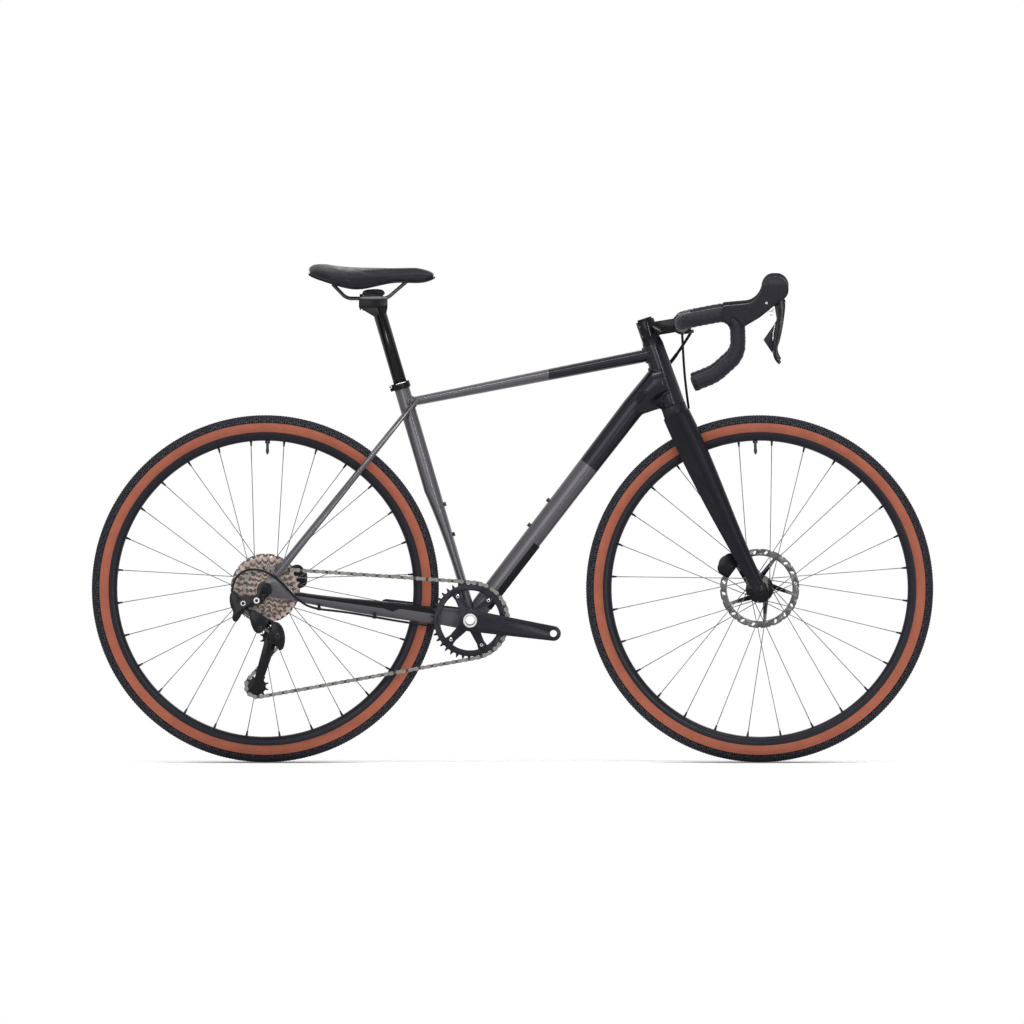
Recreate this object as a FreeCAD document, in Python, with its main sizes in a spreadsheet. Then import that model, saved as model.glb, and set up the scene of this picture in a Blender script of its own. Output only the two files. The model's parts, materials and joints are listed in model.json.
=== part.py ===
"""Gravel bike with a drop bar, disc brakes and a single chainring.

Millimetres. +X points forward, +Y to the rider's left, +Z up. The origin lies on the ground, midway
between the wheels. The drive side is on -Y.
"""
import FreeCAD, Part
import math
import os
import re

V = FreeCAD.Vector
UP = V(0, 0, 1)
LEFT = V(0, 1, 0)
FORWARD = V(1, 0, 0)
RIGHT_SIDE = -1
LEFT_SIDE = 1
BOTH_SIDES = (RIGHT_SIDE, LEFT_SIDE)

SIZES = {
    # Stance
    "wheelbase": 996, "chainstay_length": 417.3, "bb_drop": 63, "seat_angle": 73.6, "head_angle": 71.5,
    "fork_rake": 48, "fork_length": 406, "head_tube_length": 130,
    # Clearances and cuts
    "overrun": 4, "running_clearance": 0.05, "side_clearance": 0.3, "seat_gap": 0.2,
    # Tyres and rims
    "tyre_radius": 350, "tyre_width": 40, "tyre_wall": 3, "tread_width": 35, "tread_drop": 9.5,
    "rim_radius": 317, "rim_depth": 19, "rim_width": 28, "rim_wall": 2.4, "rim_well": 8,
    "rim_bed_width": 13, "valve_radius": 3, "valve_length": 24,
    # Spokes
    "spoke_count": 28, "spoke_radius": 1, "spoke_spread": 2, "front_spoke_turn": 4.7,
    "rear_spoke_turn": 7.3, "spoke_crosses": 2,
    # Hubs and axles
    "axle_radius": 6, "axle_head_radius": 9, "axle_head_length": 4, "flange_radius": 28,
    "flange_thickness": 3, "flange_rim": 3.5, "hub_shell_radius": 13, "hub_cap_radius": 9.5,
    "hub_cap_length": 7, "front_hub_width": 100, "front_flange_right": 35, "front_flange_left": 24,
    "rear_hub_width": 142, "rear_flange_right": 19, "rear_flange_left": 34, "freehub_radius": 16.5,
    "freehub_end": 68,
    # Disc rotors
    "front_rotor_radius": 80, "rear_rotor_radius": 70, "rotor_thickness": 1.8, "rotor_band": 14,
    "rotor_arms": 5, "rotor_arm_width": 11, "rotor_hub_radius": 24, "rotor_bore": 17, "rotor_scallops": 20,
    "rotor_scallop_radius": 3.4, "rotor_arm_lean": 28, "rotor_window": 8, "rotor_window_width": 4.4,
    "rotor_window_lean": 40, "rotor_windows": 15, "front_rotor_offset": 39.5, "rear_rotor_offset": 55.7,
    "rotor_seat_radius": 21,
    # Head tube and headset
    "head_tube_low_radius": 24.5, "head_tube_top_radius": 21, "head_bore": 18.5, "bearing_height": 8,
    "steerer_radius": 14.3, "headset_cover_height": 8, "spacer_height": 2.5, "top_cap_height": 4,
    # Top tube
    "top_tube_rear_height": 18, "top_tube_rear_width": 30, "top_tube_front_height": 27,
    "top_tube_front_width": 40, "top_tube_seat_drop": 41, "top_tube_head_drop": 20,
    # Seat tube
    "seat_tube_length": 497, "seat_tube_radius": 15.5, "seat_tube_foot_depth": 21,
    "seat_tube_foot_width": 40, "relief_start_share": 0.342, "relief_end_share": 0.55, "post_bore_rise": 4,
    # Down tube
    "down_tube_aim": 73.6, "down_tube_low_height": 40, "down_tube_low_width": 46,
    "down_tube_mid_height": 42, "down_tube_mid_width": 48, "down_tube_top_height": 46,
    "down_tube_top_width": 46, "down_tube_head_height": 83, "down_tube_head_width": 42,
    "down_tube_head_centre": 43.5, "down_tube_head_back": 20, "down_tube_low_share": 0.095,
    "down_tube_mid_share": 0.521, "down_tube_top_share": 0.852, "port_share": 0.895,
    # Bottom bracket
    "bb_shell_radius": 22, "bb_shell_width": 68, "bb_bore": 17, "cup_radius": 21, "cup_length": 10,
    "cup_depth": 14, "spindle_radius": 12, "spindle_bore": 9.5,
    # Stays
    "chainstay_foot_height": 34, "chainstay_foot_width": 15, "chainstay_mid_height": 26,
    "chainstay_mid_width": 14, "chainstay_end_height": 17, "chainstay_end_width": 12,
    "chainstay_foot_offset": 27, "chainstay_ring_offset": 33.5, "chainstay_mid_offset": 51,
    "chainstay_end_offset": 72, "chainstay_arch": 6, "seatstay_height": 15, "seatstay_width": 11,
    "seatstay_end_offset": 74.5, "seatstay_top_offset": 22, "seatstay_end_ahead": 19,
    "seatstay_end_above": 24, "seatstay_top_ahead": 22, "seatstay_top_above": 13,
    # Dropouts and hanger
    "dropout_thickness": 7, "dropout_eye_radius": 14, "hanger_thickness": 6, "hanger_bolt_back": 12,
    "hanger_bolt_drop": 20, "hanger_eye_radius": 9, "hanger_bolt_head": 7,
    # Seat clamp, post and saddle
    "clamp_radius": 18.6, "clamp_height": 13, "clamp_lift": 2, "clamp_slot": 3, "clamp_ear": 9,
    "clamp_ear_width": 15, "post_radius": 13.6, "post_insertion": 110, "post_height": 159,
    "post_head_length": 58, "post_head_height": 14, "post_head_width": 50, "post_head_back": 10,
    "post_neck_drop": 14, "post_neck_width": 27, "post_neck_lip": 4, "yoke_length": 40, "yoke_height": 9,
    "clamp_bolt_radius": 3.5, "clamp_bolt_back": 24, "rail_radius": 3.5, "rail_spread": 20,
    "rail_rise": 18.7, "rail_rear_rise": 47.7, "rail_front_rise": 53.7, "rail_bend": 25,
    "saddle_reach": 114.7, "saddle_length": 255, "saddle_width": 146, "saddle_lift": 40.7,
    "saddle_height": 47.5, "saddle_shell_depth": 4,
    # Fork
    "crown_height": 34, "crown_depth": 50, "crown_width": 92, "leg_top_depth": 55, "leg_top_width": 24,
    "leg_mid_depth": 53, "leg_mid_width": 22, "leg_low_depth": 40, "leg_low_width": 19, "leg_end_depth": 26,
    "leg_end_width": 15, "leg_bow": 3, "leg_top_offset": 41, "leg_end_gap": 0.3, "leg_eye_radius": 13,
    # Stem
    "stem_length": 70, "stem_rise": 9.5, "stem_clamp_height": 40, "stem_clamp_radius": 19, "stem_depth": 28,
    "stem_width": 30, "faceplate_width": 44, "faceplate_radius": 21, "bar_clamp_radius": 15.9,
    "stem_bolt_radius": 3.2, "stem_bolt_spread": 15,
    # Handlebar
    "bar_radius": 11.9, "tape_radius": 15.8, "bar_bulge_length": 66, "tape_start": 52,
    "bar_half_width": 205, "plug_length": 6,
    # Hoods and levers
    "hood_width": 34, "hood_offset": 213, "hood_slot": 17, "lever_width": 13, "lever_pivot_radius": 2.5,
    "lever_eye_radius": 8, "paddle_thickness": 2.5, "paddle_gap": 0.6,
    # Crankset and chain
    "crank_length": 170, "crank_angle": -8.8, "crank_root_radius": 22, "crank_eye_radius": 15,
    "crank_thickness": 13, "crank_inner_face": 62, "crank_hub_face": 45.3, "pedal_thread_radius": 6.9,
    "chain_pitch": 12.7, "chain_line": 46, "ring_teeth": 38, "ring_thickness": 2.2, "ring_band": 16.5,
    "spider_radius": 55, "spider_arm_width": 15, "spider_thickness": 5, "spider_lean_front": 56,
    "spider_lean_back": 126, "roller_radius": 3.9, "tooth_root_gap": 0.4, "tooth_height": 3,
    "tooth_tip": 0.85, "tooth_root_half": 2.7, "roller_half_width": 1.15, "inner_plate": 0.8,
    "outer_plate": 0.7, "plate_gap": 0.06, "plate_height": 8.2, "plate_end": 4.2, "plate_shoulder": 2.3,
    # Cassette
    "cog_pitch": 3.74, "cog_thickness": 1.5, "chain_cog": 5, "cog_bore": 16.9, "lockring_radius": 18,
    # Rear derailleur
    "pulley_teeth": 11, "pulley_thickness": 2, "pulley_hub_radius": 8, "pulley_hub_width": 7,
    "pulley_pin_radius": 2.5, "cage_pivot_radius": 4, "guide_ahead": 13, "guide_below": 97,
    "cage_length": 103, "cage_plate": 2, "cage_inside": 8.2, "cage_width": 17, "cage_end_radius": 12.5,
    "link_pivot_back": 45, "link_pivot_drop": 36, "link_outboard": 95, "link_reach": 48, "link_fall": 33,
    "link_inward": 2, "link_tilt": 20, "link_spread": 12, "link_barrel_radius": 4.5,
    "link_barrel_length": 13, "link_bar_height": 9, "link_bar_width": 5, "link_pin_radius": 2,
    "knuckle_ear": 3, "knuckle_back": 5, "knuckle_reach": 6, "knuckle_gap": 1, "knuckle_boss_radius": 10.5,
    "knuckle_neck_radius": 8.4, "boss_inner_face": 56,
    # Calipers
    "caliper_length": 48, "caliper_height": 36, "caliper_width": 30, "caliper_slot": 3.6,
    "caliper_rotor_reach": 17, "piston_cap_radius": 12, "piston_cap_height": 3, "front_caliper_lift": 37,
    "rear_caliper_lift": 20,
    # Small pieces
    "bolt_head_radius": 4.2, "bolt_head_height": 4.5, "bottle_spacing": 63, "down_tube_bolts_at": 256,
    "seat_tube_bolts_at": 207, "guard_thickness": 1.2, "guard_at": 122, "guard_length": 160,
    "guard_height": 16, "port_length": 30, "port_width": 11, "port_height": 2, "hose_radius": 2.5,
    "bundle_radius": 3.5, "bundle_lift": 8.5, "bundle_ahead": 17.5, "hose_spread": 24,
    "housing_end_back": 62, "housing_end_drop": 20,
}

# The sprockets of the cassette from the smallest to the largest
COG_TEETH = (11, 13, 15, 17, 19, 21, 23, 25, 27, 30, 34)

# Drop bar: forward, outward and upward places of its corners, from the middle of the stem clamp
BAR_CORNER_SIZES = {
    "bar_shoulder_rise": 8, "bar_ramp_forward": 111, "bar_ramp_rise": 29, "bar_ramp_outward": 8,
    "bar_hook_forward": 113, "bar_hook_fall": 58, "bar_hook_outward": 14,
    "bar_drop_forward": 66, "bar_drop_fall": 100, "bar_drop_outward": 22,
    "bar_end_forward": 26, "bar_end_fall": 116, "bar_end_outward": 26,
    "bar_shoulder_bend": 42, "bar_ramp_bend": 34, "bar_hook_bend": 48, "bar_drop_bend": 80,
}
SIZES.update(BAR_CORNER_SIZES)

# Lever hood: its box ahead of and above the stem clamp's middle. The outline is in shares of that box,
# where a pair of points is an arc through the first to the second.
HOOD_SIZES = {"hood_back": 78, "hood_length": 137, "hood_low": -15.5, "hood_height": 116}
SIZES.update(HOOD_SIZES)
HOOD_SHARES = (
    (0.02, 0.48), (0.40, 0.52), ((0.535, 0.62), (0.60, 0.79)), ((0.82, 1.00), (1.00, 0.77)),
    ((0.99, 0.69), (0.93, 0.60)), (0.81, 0.50), (0.57, 0.275), (0.355, 0.125), (0.26, 0.00), (0.02, 0.245),
)
# Front of the hood: shares of its width and height
HOOD_FRONT_SHARES = (
    (-0.42, 0.00), (-0.50, 0.20), (-0.50, 0.45), ((-0.37, 0.88), (0.00, 1.00)), ((0.37, 0.88), (0.50, 0.45)),
    (0.50, 0.20), (0.42, 0.00),
)
# Room for the lever in the hood, as shares of the same box
SLOT_SHARES = ((0.70, 0.75), (1.20, 0.75), (1.20, -0.20), (0.70, -0.20))

# Brake lever: its box below the hood, with its outline in shares of that box
LEVER_SIZES = {"lever_back": 176, "lever_length": 34, "lever_low": -78, "lever_height": 124}
SIZES.update(LEVER_SIZES)
LEVER_SHARES = (
    (0.10, 1.06), ((0.34, 1.16), (0.72, 1.09)), (0.95, 0.98), ((0.84, 0.70), (0.60, 0.367)),
    ((0.50, 0.17), (0.70, 0.04)), (0.58, 0.00), ((0.32, 0.08), (0.20, 0.19)), ((0.30, 0.45), (0.44, 0.72)),
    (0.30, 0.95),
)
LEVER_PIVOT_SHARES = ((0.34, 1.08),)
PADDLE_SHARES = ((0.55, 0.80), (0.30, 0.66), (-0.36, 0.40), (0.17, 0.18), (0.36, 0.40))

# Saddle from tail to nose: place along it, width, underside, side edge and crown, all as shares of its box
SADDLE_SHARES = (
    (0.00, 0.60, 0.62, 0.72, 0.87), (0.05, 0.77, 0.48, 0.73, 1.00), (0.16, 1.00, 0.28, 0.62, 0.92),
    (0.365, 0.93, 0.02, 0.48, 0.80), (0.525, 0.62, 0.13, 0.53, 0.78), (0.71, 0.37, 0.29, 0.57, 0.77),
    (0.92, 0.29, 0.31, 0.59, 0.77), (1.00, 0.20, 0.48, 0.57, 0.68),
)
SHELL_WIDTH_SHARE = 0.86
# Bends of the hoses, as shares of the way from start to end along each axis
FRONT_HOSE_SHARES = ((0.23, 0.00, 0.415), (0.62, 0.65, 0.76))
BUNDLE_SHARES = ((0.20, 0.45, 0.25), (0.46, 1.50, 0.525))
HOUSING_SHARES = ((0.36, 0.65, -7.0), (0.64, 0.95, -10.0), (0.97, 1.00, -4.0))
# Brake caliper seen along the axle: shares of its length and height from the middle of its foot
CALIPER_SHARES = (
    (-0.50, 0.00), (-0.50, 0.50), ((-0.42, 0.78), (-0.24, 0.90)), ((0.00, 1.00), (0.24, 0.90)),
    ((0.42, 0.78), (0.50, 0.50)), (0.50, 0.00),
)
PISTON_SHARE = (0.00, 0.45)
# Sections of a chainstay: share of the way to the axle and share of its arch
CHAINSTAY_SHARES = ((0.03, 0.0), (0.20, 0.3), (0.55, 1.0), (0.86, 1.0), (0.97, 0.6))
# Fork leg: start below the crown's top, then each section's share of the way to the axle and of the bow
LEG_TOP_SHARE = 0.55
# Fork crown: flat share of its top and low section, and half the tyre's room as a share of the tyre
CROWN_KEEL_SHARES = (0.7, 0.8)
TYRE_ROOM_SHARE = 0.7
LEG_SHARES = ((0.0, 0.0), (0.35, 0.6), (0.65, 1.0), (0.98, 0.0))
# Spread of the stem's front bolts, and of the spider's arms and the ring's tabs at their roots
STEM_BOLT_SHARE = 0.85
SPIDER_ROOT_SHARE = 1.5
RING_TAB_SHARE = 1.6
# Places of the saddle rails' corners along the saddle, from tail to nose
RAIL_SHARES = (0.19, 0.30, 0.62, 0.78)


class Sizes:
    """Writes the driving dimensions to a sheet and reads them back by name."""

    def __init__(self, doc, table):
        self.sheet = doc.addObject("Spreadsheet::Sheet", "sizes")
        for row, (alias, value) in enumerate(table.items(), start=1):
            self.sheet.set(f"A{row}", alias)
            self.sheet.set(f"B{row}", str(value))
            self.sheet.setAlias(f"B{row}", alias)
        doc.recompute()

    def __getattr__(self, alias):
        return float(self.sheet.get(alias))


doc = FreeCAD.newDocument("gravel_bike")
s = Sizes(doc, SIZES)
NODES = {}


# Small tools for placing and joining


def linked(expression):
    """Point every name of an expression at the sheet."""
    return re.sub(r"[a-z_]{3,}", r"sizes.\g<0>", expression)


def node(label, obj):
    """Name an object as one sub-part."""
    obj.Label = label
    NODES[label] = obj
    return obj


def unit(vector):
    """Return the vector at length one."""
    return V(vector) / vector.Length


def turned(vector, axis, degrees):
    """Return the vector turned about an axis."""
    return FreeCAD.Rotation(axis, degrees).multVec(vector)


def frame_of(origin, along, upward):
    """Placement whose local Z runs along a direction, with local X as near upward as it can be."""
    z_axis = unit(along)
    x_axis = unit(upward - z_axis * upward.dot(z_axis))
    return FreeCAD.Placement(origin, FreeCAD.Rotation(x_axis, V(0, 0, 0), z_axis, "ZXY"))


def cylinder(radius, start, end):
    """Cylinder whose radius is an expression of the sheet."""
    obj = doc.addObject("Part::Cylinder", "cylinder")
    obj.setExpression("Radius", linked(radius))
    obj.Height = (end - start).Length
    obj.Placement = FreeCAD.Placement(start, FreeCAD.Rotation(UP, end - start))
    return obj


def cone(start_radius, end_radius, start, end):
    """Cone whose radii are expressions of the sheet."""
    obj = doc.addObject("Part::Cone", "cone")
    obj.setExpression("Radius1", linked(start_radius))
    obj.setExpression("Radius2", linked(end_radius))
    obj.Height = (end - start).Length
    obj.Placement = FreeCAD.Placement(start, FreeCAD.Rotation(UP, end - start))
    return obj


def block(length, width, height, centre, along, upward):
    """Box with length along one direction and height upward, about its centre."""
    obj = doc.addObject("Part::Box", "block")
    obj.setExpression("Length", linked(height))
    obj.setExpression("Width", linked(width))
    obj.setExpression("Height", linked(length))
    doc.recompute([obj])
    half = V(obj.Length.Value, obj.Width.Value, obj.Height.Value) / 2
    place = frame_of(centre, along, upward)
    obj.Placement = place.multiply(FreeCAD.Placement(-half, FreeCAD.Rotation()))
    return obj


def fuse(*parts):
    """Join solids into one."""
    obj = doc.addObject("Part::MultiFuse", "joined")
    obj.Shapes = list(parts)
    obj.Refine = True
    return obj


def cut(base, *tools):
    """Take solids away from a base."""
    obj = doc.addObject("Part::Cut", "trimmed")
    obj.Base = base
    obj.Tool = tools[0] if len(tools) == 1 else fuse(*tools)
    return obj


def common(first, second):
    """Keep what two solids share."""
    obj = doc.addObject("Part::Common", "shared")
    obj.Base = first
    obj.Tool = second
    return obj


def group(*parts):
    """Several separate solids of one sub-part."""
    obj = doc.addObject("Part::Compound", "pieces")
    obj.Links = list(parts)
    return obj


def shaped(shape):
    """Document object with a given shape."""
    obj = doc.addObject("Part::Feature", "shape")
    obj.Shape = shape
    return obj


def ring(outer, inner, start, end):
    """Tube between two points, with its bore cut past both ends."""
    past = unit(end - start) * s.overrun
    return cut(cylinder(outer, start, end), cylinder(inner, start - past, end + past))


def outline(points):
    """Closed wire. An item is a corner, or a pair of a point on an arc and the arc's end."""
    edges = []
    last = points[0]
    for item in points[1:]:
        if isinstance(item, tuple):
            edges.append(Part.Arc(last, item[0], item[1]).toShape())
            last = item[1]
        else:
            edges.append(Part.LineSegment(last, item).toShape())
            last = item
    if (last - points[0]).Length > s.running_clearance:
        edges.append(Part.LineSegment(last, points[0]).toShape())
    return Part.Wire(edges)


def revolved(points, centre, axis):
    """Solid of revolution of a closed outline."""
    obj = doc.addObject("Part::Revolution", "turning")
    obj.Source = shaped(Part.Face(outline(points)))
    obj.Axis = axis
    obj.Base = centre
    obj.Angle = 360
    obj.Solid = True
    return obj


def plate(points, direction, thickness):
    """Flat piece: an outline pushed along a direction by a length of the sheet."""
    obj = doc.addObject("Part::Extrusion", "plate")
    obj.Base = shaped(outline(points))
    obj.DirMode = "Custom"
    obj.Dir = direction
    obj.setExpression("LengthFwd", linked(thickness))
    obj.Solid = True
    return obj


def oval(tall, wide, centre, along, upward):
    """Ellipse section of a tube, of two diameters of the sheet."""
    obj = doc.addObject("Part::Ellipse", "oval")
    sideways = upward.cross(along)
    if getattr(s, tall) >= getattr(s, wide):
        major, minor, heading = tall, wide, upward
    else:
        major, minor, heading = wide, tall, sideways
    obj.setExpression("MajorRadius", linked(f"{major} / 2"))
    obj.setExpression("MinorRadius", linked(f"{minor} / 2"))
    obj.Placement = frame_of(centre, along, heading)
    return obj


def keeled(tall, wide, centre, along, upward, crease_share=-0.2, keel_share=0.5):
    """Tube section with a round back, a crease along each side and a flat keel."""
    place = frame_of(centre, along, upward)
    half_tall = tall / 2
    half_wide = wide / 2
    crease = half_tall * crease_share
    keel = half_wide * keel_share

    def at(high, across):
        return place.multVec(V(high, across, 0))

    points = [at(crease, half_wide), (at(half_tall, 0), at(crease, -half_wide)), at(-half_tall, -keel),
              at(-half_tall, keel)]
    return shaped(outline(points))


def loft(sections, ruled=False):
    """Solid through a row of sections."""
    obj = doc.addObject("Part::Loft", "loft")
    obj.Sections = sections
    obj.Solid = True
    obj.Ruled = ruled
    return obj


def rounded_path(points, radii):
    """Wire of straight runs joined by tangent arcs of the given radii."""
    edges = []
    start = points[0]
    for before, corner, after, radius in zip(points, points[1:], points[2:], radii):
        back = unit(before - corner)
        ahead = unit(after - corner)
        half_turn = (math.pi - back.getAngle(ahead)) / 2
        reach = radius * math.tan(half_turn)
        entry = corner + back * reach
        leave = corner + ahead * reach
        inward = unit(back + ahead)
        middle = corner + inward * (radius / math.cos(half_turn) - radius)
        if (entry - start).Length > s.running_clearance:
            edges.append(Part.LineSegment(start, entry).toShape())
        edges.append(Part.Arc(entry, middle, leave).toShape())
        start = leave
    edges.append(Part.LineSegment(start, points[-1]).toShape())
    return Part.Wire(edges)


def tube_along(wire, radius):
    """Round rod along a path, its radius an expression of the sheet."""
    section = doc.addObject("Part::Circle", "section")
    section.setExpression("Radius", linked(radius))
    start = wire.OrderedEdges[0]
    heading = start.tangentAt(start.FirstParameter)
    section.Placement = FreeCAD.Placement(wire.OrderedVertexes[0].Point, FreeCAD.Rotation(UP, heading))
    spine = shaped(wire)
    obj = doc.addObject("Part::Sweep", "rod")
    obj.Sections = [section]
    obj.Spine = (spine, [f"Edge{i + 1}" for i in range(len(wire.Edges))])
    obj.Solid = True
    obj.Frenet = False
    return obj


def cord_path(points):
    """Route of a hose: each arc as large as its two runs allow."""
    reach_share = 0.45
    radii = []
    for before, corner, after in zip(points, points[1:], points[2:]):
        turn = (corner - before).getAngle(after - corner)
        shorter = min((corner - before).Length, (after - corner).Length)
        radii.append(reach_share * shorter / math.tan(turn / 2))
    return rounded_path(points, radii)


# Main points of the bike

rear_axle = V(-s.wheelbase / 2, 0, s.tyre_radius)
front_axle = V(s.wheelbase / 2, 0, s.tyre_radius)
bb = V(rear_axle.x + math.sqrt(s.chainstay_length ** 2 - s.bb_drop ** 2), 0, s.tyre_radius - s.bb_drop)
seat_up = turned(FORWARD, LEFT, s.seat_angle - 180)
steer_up = turned(FORWARD, LEFT, s.head_angle - 180)
steer_forward = turned(steer_up, LEFT, 90)
steer_foot = front_axle - steer_forward * s.fork_rake
head_low = steer_foot + steer_up * s.fork_length
head_top = head_low + steer_up * s.head_tube_length
seat_top = bb + seat_up * s.seat_tube_length
post_head = seat_top + seat_up * s.post_height
saddle_nose = post_head.x + s.saddle_reach
saddle_base = post_head.z + s.saddle_lift
rail_height = post_head.z + s.rail_rise
down_tube_end = head_low + steer_up * s.down_tube_aim
stem_middle = head_top + steer_up * (s.headset_cover_height + s.spacer_height + s.stem_clamp_height / 2)
stem_along = turned(FORWARD, LEFT, -s.stem_rise)
bar_middle = stem_middle + stem_along * s.stem_length
crank_along = turned(FORWARD, LEFT, -s.crank_angle)
guide_centre = rear_axle + V(s.guide_ahead, -s.chain_line, -s.guide_below)


# Sprockets and the chain's path


def pitch_radius(teeth):
    """Radius of the circle through the chain's pins."""
    return s.chain_pitch / (2 * math.sin(math.pi / teeth))


def sprocket_points(teeth, centre, first_pin, tip):
    """Tooth outline about a centre, with a roller seat in the direction of the first pin."""
    radius = pitch_radius(teeth)
    root = radius - s.roller_radius - s.tooth_root_gap
    half_pitch = s.chain_pitch / 2
    points = []
    for tooth in range(teeth):
        seat = turned(first_pin, LEFT, 360 * tooth / teeth)
        across = turned(seat, LEFT, 90)
        points.append(centre + seat * root - across * s.tooth_root_half)
        points.append(centre + seat * root + across * s.tooth_root_half)
        middle = turned(seat, LEFT, 180 / teeth)
        beside = turned(middle, LEFT, 90)
        crest = centre + middle * (radius * math.cos(math.pi / teeth) + s.tooth_height)
        if tip > 0:
            points.append(crest - beside * tip)
            points.append(crest + beside * tip)
        else:
            points.append(crest)
    return points


def tangent_pair(first, first_radius, second, second_radius, crossed, side):
    """Touching points of a straight run between two circles in the side view."""
    gap = second - first
    spread = first_radius + second_radius if crossed else first_radius - second_radius
    lean = math.degrees(math.acos(spread / gap.Length))
    heading = turned(unit(gap), LEFT, side * lean)
    far = -heading if crossed else heading
    return first + heading * first_radius, second + far * second_radius


class ChainLine:
    """Closed path of the chain round chainring, tension pulley, guide pulley and cog."""

    def __init__(self, cage_turn):
        straight_down = V(0, 0, -s.cage_length)
        self.ring = bb + V(0, -s.chain_line, 0)
        self.cog = rear_axle + V(0, -s.chain_line, 0)
        self.guide = guide_centre
        self.tension = guide_centre + turned(straight_down, LEFT, cage_turn)
        ring_r = pitch_radius(int(s.ring_teeth))
        cog_r = pitch_radius(COG_TEETH[int(s.chain_cog)])
        pulley_r = pitch_radius(int(s.pulley_teeth))
        top = tangent_pair(self.cog, cog_r, self.ring, ring_r, False, -1)
        low = tangent_pair(self.ring, ring_r, self.tension, pulley_r, False, -1)
        back = tangent_pair(self.tension, pulley_r, self.guide, pulley_r, True, -1)
        rise = tangent_pair(self.guide, pulley_r, self.cog, cog_r, True, 1)
        self.pieces = [
            self.run(*top), self.wrap(self.ring, ring_r, top[1], low[0], 1),
            self.run(*low), self.wrap(self.tension, pulley_r, low[1], back[0], 1),
            self.run(*back), self.wrap(self.guide, pulley_r, back[1], rise[0], -1),
            self.run(*rise), self.wrap(self.cog, cog_r, rise[1], top[0], 1),
        ]
        self.length = sum(piece[0] for piece in self.pieces)

    @staticmethod
    def run(start, end):
        """Straight stretch: its length and its place at a distance."""
        return (end - start).Length, lambda d: start + unit(end - start) * d

    @staticmethod
    def wrap(centre, radius, start, end, sense):
        """Stretch round a sprocket: its length and its place at a distance."""
        arm = start - centre
        goal = end - centre
        angle = math.atan2(arm.cross(goal).dot(LEFT) * sense, arm.dot(goal)) % (2 * math.pi)
        return angle * radius, lambda d: centre + turned(arm, LEFT, sense * math.degrees(d / radius))

    def at(self, distance):
        """Point of the path at a distance from its start."""
        distance = distance % self.length
        for length, place in self.pieces:
            if distance <= length:
                return place(distance)
            distance -= length
        return self.pieces[-1][1](self.pieces[-1][0])

    def pins(self, count):
        """Pins one pitch apart in a straight line, and the distance left over at the end."""
        travel = 0.0
        places = [self.at(travel)]
        for _ in range(count):
            step = s.chain_pitch
            for _ in range(6):
                step += s.chain_pitch - (self.at(travel + step) - places[-1]).Length
            travel += step
            places.append(self.at(travel))
        return places[:-1], self.length - travel


def solve_chain():
    """Turn the cage until a whole, even number of links closes the chain."""
    low_turn, high_turn, steps = 5.0, 25.0, 24
    start = ChainLine((low_turn + high_turn) / 2)
    count = 2 * round(start.length / s.chain_pitch / 2)
    for _ in range(steps):
        middle = (low_turn + high_turn) / 2
        if ChainLine(middle).pins(count)[1] > 0:
            high_turn = middle
        else:
            low_turn = middle
    line = ChainLine((low_turn + high_turn) / 2)
    pins, rest = line.pins(count)
    print(count, "links, closing error", round(rest, 4), "cage turn", round(low_turn, 2))
    return line, pins


chain_line, chain_pins = solve_chain()


def nearest_pin(centre):
    """Direction from a sprocket's centre to the pin nearest to it, in the middle of its wrap."""
    closest = sorted(chain_pins, key=lambda pin: (pin - centre).Length)[:3]
    return unit(closest[0] - centre)


# Wheels


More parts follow.
